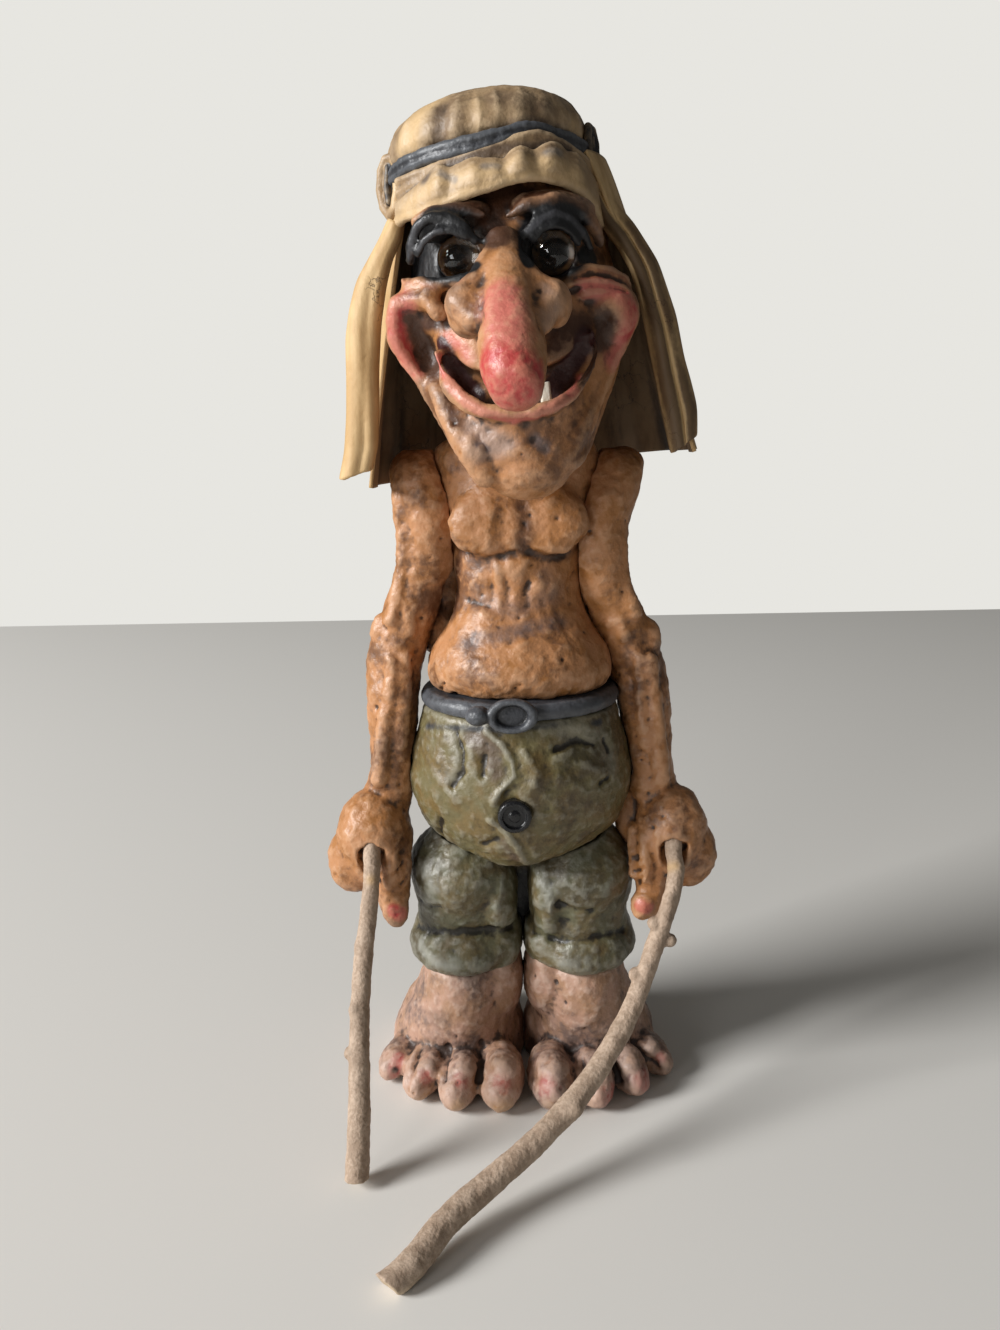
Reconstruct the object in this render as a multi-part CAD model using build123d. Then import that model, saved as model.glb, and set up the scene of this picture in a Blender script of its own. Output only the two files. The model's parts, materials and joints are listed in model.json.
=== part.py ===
from build123d import *
import math
import os

# A free-standing folk troll, cast in pieces, painted and leaning on two twigs.
# Sizes are in millimetres. +Z is up, the figure faces -Y, the table is Z = 0, and the heels
# meet at the origin. Right and left are the figure's own, so right is -X.

# Heights, stacked up from the table
FOOT_HEIGHT = 38.0
LEG_HEIGHT = 39.0
TROUSERS_HEIGHT = 47.5
BELT_HEIGHT = 5.0
TORSO_HEIGHT = 84.0

# Clearances
CASTING_GAP = 0.25
DOWEL_GAP = 0.2
EYE_GAP = 0.15
STICK_GAP = 0.25
CLOTH_GAP = 0.25

# Feet: a heel block with four toes
FOOT_SPREAD = 22.0
SOLE_HALF_WIDTH = 22.4
SOLE_HALF_LENGTH = 26.0
SOLE_SETBACK = 3.0
SOLE_TAPER = 1.0
INSTEP_HALF_WIDTH = 17.5
INSTEP_HALF_LENGTH = 22.0
INSTEP_HEIGHT = 21.0
ANKLE_HALF_WIDTH = 14.0
ANKLE_HALF_DEPTH = 16.5
TOE_HALF_LENGTH = 14.0
TOE_OUT = (8.0, 21.0, 32.0, 39.5)
TOE_FORWARD = (26.0, 25.0, 19.5, 10.0)
TOE_RADIUS = (7.4, 6.9, 6.5, 6.0)
TOE_SPLAY = (2.0, 6.0, 16.0, 30.0)
TOE_SINK = 0.6
TOE_TILT = 6.0

# Legs: a cuff and a knee bulge, one above the other
LEG_SPREAD = 19.3
LEG_SETBACK = -3.0
CUFF_EDGE = 1.0
CUFF_HALF_WIDTH = 17.2
CUFF_HALF_DEPTH = 18.6
CUFF_HEIGHT = 8.0
SHIN_HALF_WIDTH = 15.0
SHIN_HALF_DEPTH = 16.4
SHIN_HEIGHT = 17.0
KNEE_HALF_WIDTH = 17.0
KNEE_HALF_DEPTH = 19.2
KNEE_HEIGHT = 27.0
THIGH_HALF_WIDTH = 15.5
THIGH_HALF_DEPTH = 17.5
THIGH_HEIGHT = 37.0
LEG_TOP_HALF_WIDTH = 9.0
LEG_TOP_HALF_DEPTH = 11.0
LEG_TOP_RISE = 10.0

# Trousers: a round seat with a flat waistband
SEAT_SETBACK = -3.0
SEAT_BOTTOM_HALF_WIDTH = 15.0
SEAT_BOTTOM_HALF_DEPTH = 13.0
SEAT_LOW_HALF_WIDTH = 30.0
SEAT_LOW_HALF_DEPTH = 25.0
SEAT_LOW_HEIGHT = 8.5
SEAT_HALF_WIDTH = 35.0
SEAT_HALF_DEPTH = 30.0
SEAT_HEIGHT = 22.0
HIP_HALF_WIDTH = 33.0
HIP_HALF_DEPTH = 28.5
HIP_HEIGHT = 36.0
WAISTBAND_HALF_WIDTH = 30.0
WAISTBAND_HALF_DEPTH = 26.0
SPIGOT_HALF_WIDTH = 23.0
SPIGOT_HALF_DEPTH = 18.0
CROTCH_WEB_HALF_WIDTH = 7.0
CROTCH_WEB_DEPTH = 8.0
CROTCH_WEB_SETBACK = 2.0
CROTCH_WEB_DROP = 33.0
FLY_RADIUS = 1.6
FLY_SWAY = 4.0

# Belt, its ring and the fly button
BELT_BULGE = 0.9
KNOT_SHIFT = -2.8
KNOT_HALF_WIDTH = 6.0
KNOT_HALF_HEIGHT = 4.2
KNOT_RADIUS = 1.5
KNOT_LUMP_RADIUS = 3.8
KNOT_LUMP_SHIFT = -12.5
KNOT_LUMP_FLATNESS = 0.8
BUTTON_RADIUS = 5.0
BUTTON_HEIGHT = 3.2
BUTTON_SINK = 1.0
BUTTON_DISH_RADIUS = 3.5
BUTTON_DISH_DEPTH = 0.9
BUTTON_SHIFT = -2.5
BUTTON_DROP = 27.0

# Torso: belly roll, waist, chest, shoulders and neck stump
BELLY_HALF_WIDTH = 28.5
BELLY_HALF_DEPTH = 23.0
BELLY_HEIGHT = 5.0
BELLY_FORWARD = 4.0
BELLY_EDGE_HALF_WIDTH = 26.0
BELLY_EDGE_HALF_DEPTH = 20.5
MIDRIFF_HALF_WIDTH = 21.5
MIDRIFF_HALF_DEPTH = 18.0
MIDRIFF_HEIGHT = 21.0
WAIST_HALF_WIDTH = 19.5
WAIST_HALF_DEPTH = 16.0
WAIST_HEIGHT = 36.0
CHEST_HALF_WIDTH = 22.5
CHEST_HALF_DEPTH = 17.5
CHEST_HEIGHT = 53.0
SHOULDER_HALF_WIDTH = 25.0
SHOULDER_HALF_DEPTH = 17.0
SHOULDER_HEIGHT = 65.0
NECK_ROOT_HALF_WIDTH = 16.0
NECK_ROOT_HALF_DEPTH = 13.5
NECK_ROOT_HEIGHT = 75.0
NECK_HALF_WIDTH = 12.0
NECK_HALF_DEPTH = 11.0
NECK_FORWARD = 2.0
NECK_TAPER = 0.8
PEC_SPREAD = 9.8
PEC_HEIGHT = 50.5
PEC_HALF_WIDTH = 12.0
PEC_HALF_DEPTH = 5.6
PEC_HALF_HEIGHT = 10.0
FLANK_OUT = 21.0
FLANK_BACK = 4.0
FLANK_HEIGHT = 34.0
FLANK_HALF_WIDTH = 4.5
FLANK_HALF_DEPTH = 6.5
FLANK_HALF_HEIGHT = 20.0

# Arms: they hang from the shoulder, with the elbow pushed outwards
ARM_TOP = 71.5
ARM_OUT = 29.2
UPPER_ARM_HALF_WIDTH = 9.0
UPPER_ARM_HALF_DEPTH = 9.6
ABOVE_ELBOW_OUT = 30.5
ELBOW_OUT = 37.5
ELBOW_HALF_WIDTH = 9.0
ELBOW_HALF_DEPTH = 9.2
RIGHT_ELBOW_DROP = 59.0
LEFT_ELBOW_DROP = 69.0
FOREARM_OUT = 40.0
FOREARM_HALF_WIDTH = 7.8
FOREARM_HALF_DEPTH = 8.2
WRIST_OUT = 42.5
WRIST_HALF_WIDTH = 8.0
WRIST_HALF_DEPTH = 8.0
WRIST_DROP = 107.0
ARM_SETBACK = 1.0
WRIST_FORWARD = 4.0

# Hands: palm, outer knuckle and thumb, with a blind socket for the stick
HAND_OUT = 47.0
HAND_FORWARD = 8.0
HAND_DROP = 120.0
HAND_HALF_WIDTH = 12.0
HAND_HALF_DEPTH = 12.5
HAND_HALF_HEIGHT = 16.0
KNUCKLE_OUT = 53.5
KNUCKLE_RADIUS = 8.6
KNUCKLE_HALF_HEIGHT = 11.2
KNUCKLE_DROP = 127.0
THUMB_OUT = 40.8
THUMB_FORWARD = 14.0
THUMB_DROP = 132.0
THUMB_HALF_WIDTH = 5.3
THUMB_HALF_LENGTH = 14.0
FINGER_OUT = 47.5
FINGER_DROP = 131.0
FINGER_RADIUS = 5.6
FINGER_HALF_DEPTH = 6.7
FINGER_HALF_HEIGHT = 9.0
THUMB_TILT = -8.0
SOCKET_OUT = 46.5
SOCKET_FORWARD = 20.0
SOCKET_DROP = 123.0
SOCKET_DEPTH = 14.0
SOCKET_FLARE = 1.6
SOCKET_FLARE_DEPTH = 4.0

# Sticks: natural twigs from the fists down to the table
RIGHT_STICK_TOP_RADIUS = 2.6
RIGHT_STICK_TIP_RADIUS = 3.5
RIGHT_STICK_TIP = (-48.8, -66.0)
LEFT_STICK_TOP_RADIUS = 2.6
LEFT_STICK_TIP_RADIUS = 3.9
LEFT_STICK_TIP = (-36.5, -101.5)
STICK_TIP_RISE = 2.4
BUD_RADIUS = 2.2

# Dowels that join the castings
NECK_DOWEL_RADIUS = 4.0
NECK_DOWEL_LENGTH = 36.0
WAIST_DOWEL_RADIUS = 5.0
WAIST_DOWEL_LENGTH = 44.0
SHOULDER_DOWEL_RADIUS = 3.2
SHOULDER_DOWEL_LENGTH = 22.0
LEG_DOWEL_RADIUS = 4.0
LEG_DOWEL_FOOT_DEPTH = 16.0
LEG_DOWEL_SEAT_DEPTH = 20.0
DOWEL_CHAMFER = 0.6

# Head: it is modelled upright and then leans towards the right shoulder
CHIN_DROP = 25.0
HEAD_LEAN = 5.5
HEAD_TURN = 3.5
HEAD_SHIFT = 3.0
HEAD_HEIGHT = 86.0
JOWL_HALF_WIDTH = 17.0
JOWL_HEIGHT = 11.0
JAW_HALF_WIDTH = 22.5
JAW_HEIGHT = 22.0
CHEEK_LEVEL_HALF_WIDTH = 28.0
CHEEK_LEVEL_HALF_DEPTH = 28.5
CHEEK_LEVEL_HEIGHT = 35.0
TEMPLE_HALF_WIDTH = 29.5
TEMPLE_HALF_DEPTH = 31.0
TEMPLE_HEIGHT = 50.0
SKULL_HALF_WIDTH = 27.5
SKULL_HALF_DEPTH = 31.5
SKULL_HEIGHT = 64.0
FOREHEAD_HALF_WIDTH = 25.5
FOREHEAD_HALF_DEPTH = 29.0
FOREHEAD_HEIGHT = 77.0
CROWN_TAPER = 0.6
FACE_FRONT = 48.0
CHIN_TUCK = 7.0
JOWL_TUCK = 0.5
CHEEK_TUCK = 1.0
TEMPLE_TUCK = 4.0
SKULL_TUCK = 8.0
FOREHEAD_TUCK = 12.0
CROWN_TUCK = 24.0
CHIN_FORWARD = 37.0
CHIN_HALF_WIDTH = 12.0
CHIN_HALF_DEPTH = 10.0
CHIN_HALF_HEIGHT = 9.0
CHEEK_SPREAD = 24.0
CHEEK_FORWARD = 29.0
RIGHT_CHEEK_HEIGHT = 49.0
LEFT_CHEEK_HEIGHT = 45.0
CHEEK_HALF_WIDTH = 9.0
CHEEK_HALF_DEPTH = 9.6
CHEEK_HALF_HEIGHT = 8.6
BROW_SPREAD = 13.0
BROW_FORWARD = 36.5
BROW_HEIGHT = 71.0
BROW_HALF_WIDTH = 11.0
BROW_RADIUS = 4.2
BROW_SLANT = 8.0
BROW_TURN = 14.0

# Nose: a root between the eyes, a drooping shaft and two wings
NOSE_ROOT_HEIGHT = 65.0
NOSE_ROOT_FORWARD = 42.0
NOSE_ROOT_RADIUS = 4.2
NOSE_BRIDGE_HEIGHT = 52.0
NOSE_BRIDGE_FORWARD = 52.0
NOSE_BRIDGE_RADIUS = 6.3
NOSE_SHAFT_HEIGHT = 38.0
NOSE_SHAFT_FORWARD = 62.0
NOSE_SHAFT_RADIUS = 8.0
NOSE_TIP_HEIGHT = 27.0
NOSE_TIP_FORWARD = 70.0
NOSE_TIP_RADIUS = 6.6
NOSTRIL_SPREAD = 10.6
NOSTRIL_FORWARD = 50.0
NOSTRIL_HEIGHT = 47.0
NOSTRIL_HALF_WIDTH = 4.6
NOSTRIL_RADIUS = 5.8
NOSTRIL_HALF_DEPTH = 7.3

# Mouth: a crescent grin with a rolled lip and one tooth
MOUTH_HALF_WIDTH = 20.0
MOUTH_CORNER_HEIGHT = 41.0
MOUTH_CORNER_FORWARD = 41.0
MOUTH_LOW_HEIGHT = 22.5
MOUTH_HIGH_HEIGHT = 32.0
MOUTH_DEPTH = 9.0
LIP_RADIUS = 2.4
TOOTH_SHIFT = 6.5
TOOTH_WIDTH = 3.2
TOOTH_DEPTH = 2.6
TOOTH_HEIGHT = 6.5
TOOTH_ROOT = 2.0
TOOTH_SETBACK = 3.2
TOOTH_TIP_WIDTH = 2.4
TOOTH_TIP_DEPTH = 1.6
TOOTH_CORNER = 0.6

# Eyes: a glass dome on a painted disc with a short stalk
EYE_SPREAD = 12.0
RIGHT_EYE_HEIGHT = 62.2
LEFT_EYE_HEIGHT = 60.7
EYE_FORWARD = 35.0
EYE_RADIUS = 5.6
IRIS_SETBACK = 1.0
IRIS_THICKNESS = 0.8
STALK_RADIUS = 1.0
STALK_LENGTH = 9.0
LID_HALF_WIDTH = 9.0
LID_HALF_HEIGHT = 7.6
LID_FORWARD = 40.5
LID_DEPTH = 5.0

# Cap: gathered crown, corded band, ruffled frill and two knots
BRIM_HEIGHT = 79.0
BAND_HEIGHT = 87.8
CAP_HEIGHT = 105.5
CAP_SHIFT = -2.0
CAP_SETBACK = -5.0
CAP_HALF_WIDTH = 28.5
CAP_HALF_DEPTH = 32.0
# Shares of the crown's rise, with the share of its width and of its gather at each
CROWN_LEVELS = ((0.0, 1.0, 0.5), (0.32, 1.02, 1.0), (0.64, 0.92, 1.0), (0.87, 0.68, 0.8), (0.97, 0.4, 0.5),
                (1.0, 0.2, 0.2))
CROWN_GATHERS = 22
CROWN_GATHER_DEPTH = 0.7
BAND_CORD_RADIUS = 1.3
BAND_CORD_STEP = 2.0
FRILL_REACH = 1.5
FRILL_ROLL = 2.0
FRILL_ARCH = 4.5
FRILL_WAVES = 6
FRILL_SPAN = 104.0
FRILL_WAVE_HALF_WIDTH = 4.0
FRILL_WAVE_HALF_DEPTH = 2.6
FRILL_WAVE_HALF_HEIGHT = 4.0
FRILL_WAVE_RISE = 3.4
RIGHT_LOOP_WIDTH = 7.5
LEFT_LOOP_WIDTH = 3.5
KNOT_LOOP_DEPTH = 6.0
KNOT_LOOP_HEIGHT = 7.6
KNOT_LOOP_FORWARD = 10.0
KNOT_SLIT = 2.0
KNOT_SLIT_HALF_HEIGHT = 4.2
RIGHT_LOOP_HEIGHT = 87.5
LEFT_LOOP_HEIGHT = 92.0

# Hanging cloth: one sheet round the back and two lappets in front
CLOTH_THICKNESS = 1.5
CLOTH_BOTTOM = 7.0
CLOTH_FRONT = 21.0
CLOTH_FRONT_SPREAD = 45.0
CLOTH_SIDE_SPREAD = 46.5
CLOTH_QUARTER_SPREAD = 33.0
CLOTH_QUARTER_BACK = 24.0
CLOTH_BACK = 33.0
CLOTH_FOLD = 2.2
LAPPET_TOP = 71.5
LAPPET_BOTTOM = 5.0
LAPPET_WIDTH = 10.5
LAPPET_TOP_WIDTH = 7.0
LAPPET_THICKNESS = 1.6
LAPPET_FOLD = 1.0
LAPPET_TOP_SPREAD = 28.5
LAPPET_MID_SPREAD = 40.0
LAPPET_END_SPREAD = 45.5

# Levels worked out from the heights above
Z_ANKLE = FOOT_HEIGHT
Z_CROTCH = Z_ANKLE + LEG_HEIGHT
Z_WAISTBAND = Z_CROTCH + TROUSERS_HEIGHT
Z_BELLY = Z_WAISTBAND + BELT_HEIGHT
Z_NECK = Z_BELLY + TORSO_HEIGHT
Z_CHIN = Z_NECK - CHIN_DROP
Z_ARM = Z_BELLY + ARM_TOP

RIGHT, LEFT = -1, 1


def ring(x, y, z, half_width, half_depth, waves=0, wave_depth=0.0):
    """A level closed outline, oval or gathered into waves, as a face."""
    if waves == 0:
        quarters = [EllipticalCenterArc((0, 0), half_width, half_depth, start, arc_size=90)
                    for start in (45, 135, 225, 315)]
        return Pos(x, y, z) * make_face(Curve() + quarters)
    points = []
    for index in range(2 * waves):
        angle = math.pi * index / waves
        swell = wave_depth * (1 if index % 2 else -1)
        points.append(((half_width + swell) * math.cos(angle), (half_depth + swell) * math.sin(angle)))
    return Pos(x, y, z) * make_face(Spline(*points, periodic=True))


def stack(levels, grow=0.0):
    """A smooth solid through level ovals, each (x, y, z, half width, half depth)."""
    last = len(levels) - 1
    faces = []
    for index, (x, y, z, half_width, half_depth) in enumerate(levels):
        lift = -grow if index == 0 else grow if index == last else 0.0
        faces.append(ring(x, y, z + lift, half_width + grow, half_depth + grow))
    return loft(faces)


def egg(x, y, z, half_width, half_depth, half_height, turn=(0, 0, 0)):
    """An ellipsoid about a point, with its poles at the front and the back."""
    ball = Rot(90, 0, 0) * Sphere(1)
    return Pos(x, y, z) * Rot(*turn) * scale(ball, by=(half_width, half_depth, half_height))


def rod(start, end, radius):
    """A round bar from one point to another."""
    run = Vector(*end) - Vector(*start)
    bar = Cylinder(radius, run.length, align=(Align.CENTER, Align.CENTER, Align.MIN))
    return Plane(origin=start, z_dir=run) * bar


def dowel(start, end, radius):
    """A wooden peg with chamfered ends."""
    peg = rod(start, end, radius)
    return chamfer(peg.edges().filter_by(GeomType.CIRCLE), DOWEL_CHAMFER)


def bore(start, end, radius):
    """The hole that a dowel sits in."""
    run = (Vector(*end) - Vector(*start)).normalized() * DOWEL_GAP
    return rod(Vector(*start) - run, Vector(*end) + run, radius + DOWEL_GAP)


def above(z):
    """A block that fills the space above a level."""
    size = 4 * (Z_NECK + HEAD_HEIGHT)
    return Pos(0, 0, z) * Box(size, size, size, align=(Align.CENTER, Align.CENTER, Align.MIN))


def lean(piece):
    """Turn a piece of the head from upright to its lean, about the neck."""
    turned = Rot(0, -HEAD_LEAN, -HEAD_TURN) * (Pos(0, 0, -Z_NECK) * piece)
    return Pos(HEAD_SHIFT, 0, Z_NECK) * turned


# Places of the dowels
NECK_DOWEL = ((HEAD_SHIFT / 2, -NECK_FORWARD, Z_NECK - NECK_DOWEL_LENGTH / 2),
              (HEAD_SHIFT / 2, -NECK_FORWARD, Z_NECK + NECK_DOWEL_LENGTH / 2))
WAIST_DOWEL = ((0, SEAT_SETBACK, Z_BELLY - WAIST_DOWEL_LENGTH / 2),
               (0, SEAT_SETBACK, Z_BELLY + WAIST_DOWEL_LENGTH / 2))


def shoulder_dowel_ends(side):
    middle = side * SHOULDER_HALF_WIDTH
    z = Z_BELLY + SHOULDER_HEIGHT - SHOULDER_DOWEL_RADIUS
    half = side * SHOULDER_DOWEL_LENGTH / 2
    return (middle - half, ARM_SETBACK, z), (middle + half, ARM_SETBACK, z)


def leg_dowel_ends(side):
    x = side * LEG_SPREAD
    low = (x, LEG_SETBACK, Z_ANKLE - LEG_DOWEL_FOOT_DEPTH)
    return low, (x, LEG_SETBACK, Z_CROTCH + LEG_DOWEL_SEAT_DEPTH)


# Lower body
def foot(side):
    """A heel block with four toes, flat underneath and at the midline."""
    body = stack([
        (side * FOOT_SPREAD, SOLE_SETBACK, 0, SOLE_HALF_WIDTH, SOLE_HALF_LENGTH),
        (side * FOOT_SPREAD, SOLE_SETBACK, INSTEP_HEIGHT / 2, SOLE_HALF_WIDTH - SOLE_TAPER,
         SOLE_HALF_LENGTH - 2 * SOLE_TAPER),
        (side * (FOOT_SPREAD + LEG_SPREAD) / 2, 0, INSTEP_HEIGHT, INSTEP_HALF_WIDTH, INSTEP_HALF_LENGTH),
        (side * LEG_SPREAD, LEG_SETBACK, Z_ANKLE, ANKLE_HALF_WIDTH, ANKLE_HALF_DEPTH),
    ])
    for out, forward, radius, splay in zip(TOE_OUT, TOE_FORWARD, TOE_RADIUS, TOE_SPLAY):
        body += egg(side * out, -forward, radius - TOE_SINK, radius, TOE_HALF_LENGTH, radius,
                    (TOE_TILT, 0, side * splay))
    body = body & above(0)
    far = 4 * SOLE_HALF_LENGTH
    edge = side * CASTING_GAP / 2
    body = body & Pos(edge + side * far / 2, 0, 0) * Box(far, far, far)
    return body - bore(*leg_dowel_ends(side), LEG_DOWEL_RADIUS)


def trousers_form(grow=0.0):
    return stack([
        (0, SEAT_SETBACK, Z_CROTCH, SEAT_BOTTOM_HALF_WIDTH, SEAT_BOTTOM_HALF_DEPTH),
        (0, SEAT_SETBACK, Z_CROTCH + SEAT_LOW_HEIGHT, SEAT_LOW_HALF_WIDTH, SEAT_LOW_HALF_DEPTH),
        (0, SEAT_SETBACK, Z_CROTCH + SEAT_HEIGHT, SEAT_HALF_WIDTH, SEAT_HALF_DEPTH),
        (0, SEAT_SETBACK, Z_CROTCH + HIP_HEIGHT, HIP_HALF_WIDTH, HIP_HALF_DEPTH),
        (0, SEAT_SETBACK, Z_WAISTBAND, WAISTBAND_HALF_WIDTH, WAISTBAND_HALF_DEPTH),
    ], grow)


def leg_form(side, grow=0.0):
    x = side * LEG_SPREAD
    return stack([
        (x, LEG_SETBACK, Z_ANKLE, ANKLE_HALF_WIDTH + CUFF_EDGE, ANKLE_HALF_DEPTH + CUFF_EDGE),
        (x, LEG_SETBACK, Z_ANKLE + CUFF_HEIGHT, CUFF_HALF_WIDTH, CUFF_HALF_DEPTH),
        (x, LEG_SETBACK, Z_ANKLE + SHIN_HEIGHT, SHIN_HALF_WIDTH, SHIN_HALF_DEPTH),
        (x, LEG_SETBACK, Z_ANKLE + KNEE_HEIGHT, KNEE_HALF_WIDTH, KNEE_HALF_DEPTH),
        (x, LEG_SETBACK, Z_ANKLE + THIGH_HEIGHT, THIGH_HALF_WIDTH, THIGH_HALF_DEPTH),
        (x, LEG_SETBACK, Z_CROTCH + LEG_TOP_RISE, LEG_TOP_HALF_WIDTH, LEG_TOP_HALF_DEPTH),
    ], grow)


def crotch_web(grow=0.0):
    """The web that closes the space between the legs, behind their middle."""
    height = CROTCH_WEB_DROP + SEAT_HEIGHT
    block = Box(2 * (CROTCH_WEB_HALF_WIDTH + grow), CROTCH_WEB_DEPTH + 2 * grow, height + 2 * grow)
    return Pos(0, CROTCH_WEB_SETBACK, Z_CROTCH + SEAT_HEIGHT - height / 2) * block


def leg(side):
    """A trouser leg that ends in a cuff and is seated under the round of the trousers."""
    body = leg_form(side) - trousers_form(CASTING_GAP) - crotch_web(CASTING_GAP)
    return body - bore(*leg_dowel_ends(side), LEG_DOWEL_RADIUS)


def fly_seam():
    """The raised seam that wanders from the waistband down to the crotch."""
    front = SEAT_SETBACK - SEAT_HALF_DEPTH
    top = (0, SEAT_SETBACK - WAISTBAND_HALF_DEPTH - FLY_RADIUS,
           Z_WAISTBAND - KNOT_HALF_HEIGHT - 2 * FLY_RADIUS)
    upper = (FLY_SWAY, front + FLY_RADIUS / 2, Z_CROTCH + HIP_HEIGHT - FLY_SWAY)
    middle = (BUTTON_SHIFT, front, Z_CROTCH + SEAT_HEIGHT)
    low = (FLY_SWAY, SEAT_SETBACK - SEAT_LOW_HALF_DEPTH, Z_CROTCH + SEAT_LOW_HEIGHT)
    seam = rod(top, upper, FLY_RADIUS) + rod(upper, middle, FLY_RADIUS) + rod(middle, low, FLY_RADIUS)
    for place in (upper, middle, low):
        seam += Pos(*place) * Sphere(FLY_RADIUS)
    return seam


def trousers():
    """The round seat with its fly seam and the spigot that the belt goes round."""
    body = trousers_form() + fly_seam() + crotch_web()
    body = body - above(Z_WAISTBAND)
    body += extrude(ring(0, SEAT_SETBACK, Z_WAISTBAND, SPIGOT_HALF_WIDTH, SPIGOT_HALF_DEPTH), BELT_HEIGHT)
    body -= bore(*WAIST_DOWEL, WAIST_DOWEL_RADIUS)
    for side in (RIGHT, LEFT):
        body -= bore(*leg_dowel_ends(side), LEG_DOWEL_RADIUS)
    return body - button_blank(CASTING_GAP)


def belt_form(grow=0.0):
    half = BELT_HEIGHT / 2
    return stack([
        (0, SEAT_SETBACK, Z_WAISTBAND, WAISTBAND_HALF_WIDTH, WAISTBAND_HALF_DEPTH),
        (0, SEAT_SETBACK, Z_WAISTBAND + half, WAISTBAND_HALF_WIDTH + BELT_BULGE,
         WAISTBAND_HALF_DEPTH + BELT_BULGE),
        (0, SEAT_SETBACK, Z_BELLY, WAISTBAND_HALF_WIDTH - BELT_BULGE, WAISTBAND_HALF_DEPTH - BELT_BULGE),
    ], grow)


def belt():
    """The dark band between the belly and the trousers."""
    hole = extrude(ring(0, SEAT_SETBACK, Z_WAISTBAND, SPIGOT_HALF_WIDTH + CASTING_GAP,
                        SPIGOT_HALF_DEPTH + CASTING_GAP), BELT_HEIGHT)
    return belt_form() - hole


def belt_knot():
    """The oval ring and the lump of the tie, flat against the front of the belt."""
    back = SEAT_SETBACK - WAISTBAND_HALF_DEPTH - BELT_BULGE - CASTING_GAP
    middle = back - KNOT_RADIUS
    z = Z_WAISTBAND + BELT_HEIGHT / 2
    loop = scale(Torus(KNOT_HALF_WIDTH, KNOT_RADIUS), by=(1, KNOT_HALF_HEIGHT / KNOT_HALF_WIDTH, 1))
    knot = Pos(KNOT_SHIFT, middle, z) * Rot(90, 0, 0) * loop
    knot += egg(KNOT_SHIFT, back, z, KNOT_HALF_WIDTH, KNOT_RADIUS, KNOT_HALF_HEIGHT)
    strap = (KNOT_SHIFT - KNOT_HALF_WIDTH + KNOT_LUMP_SHIFT) / 2
    knot += egg(strap, back, z, KNOT_HALF_WIDTH, KNOT_RADIUS, KNOT_RADIUS)
    knot += egg(KNOT_LUMP_SHIFT, back, z, KNOT_LUMP_RADIUS, KNOT_LUMP_RADIUS,
                KNOT_LUMP_RADIUS * KNOT_LUMP_FLATNESS)
    size = 4 * WAISTBAND_HALF_WIDTH
    return knot & Pos(0, back - size / 2, z) * Box(size, size, size)


def button_blank(grow=0.0):
    face = SEAT_SETBACK - SEAT_HALF_DEPTH
    z = Z_WAISTBAND - BUTTON_DROP
    start = (BUTTON_SHIFT, face + BUTTON_SINK + grow, z)
    return rod(start, (BUTTON_SHIFT, start[1] - BUTTON_HEIGHT - 2 * grow, z), BUTTON_RADIUS + grow)


def fly_button():
    """A dished button with a raised rim and a small boss."""
    button = button_blank()
    rims = button.edges().filter_by(GeomType.CIRCLE).sort_by(Axis.Y)
    button = fillet(rims[0], BUTTON_DISH_DEPTH)
    face = button.faces().sort_by(Axis.Y)[0].center().Y
    z = Z_WAISTBAND - BUTTON_DROP
    front = (BUTTON_SHIFT, face - BUTTON_HEIGHT, z)
    dish = rod(front, (BUTTON_SHIFT, face + BUTTON_DISH_DEPTH, z), BUTTON_DISH_RADIUS)
    boss = egg(BUTTON_SHIFT, face + BUTTON_DISH_DEPTH, z, BUTTON_DISH_RADIUS / 2, BUTTON_DISH_DEPTH / 2,
               BUTTON_DISH_RADIUS / 2)
    return button - dish + boss


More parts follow.
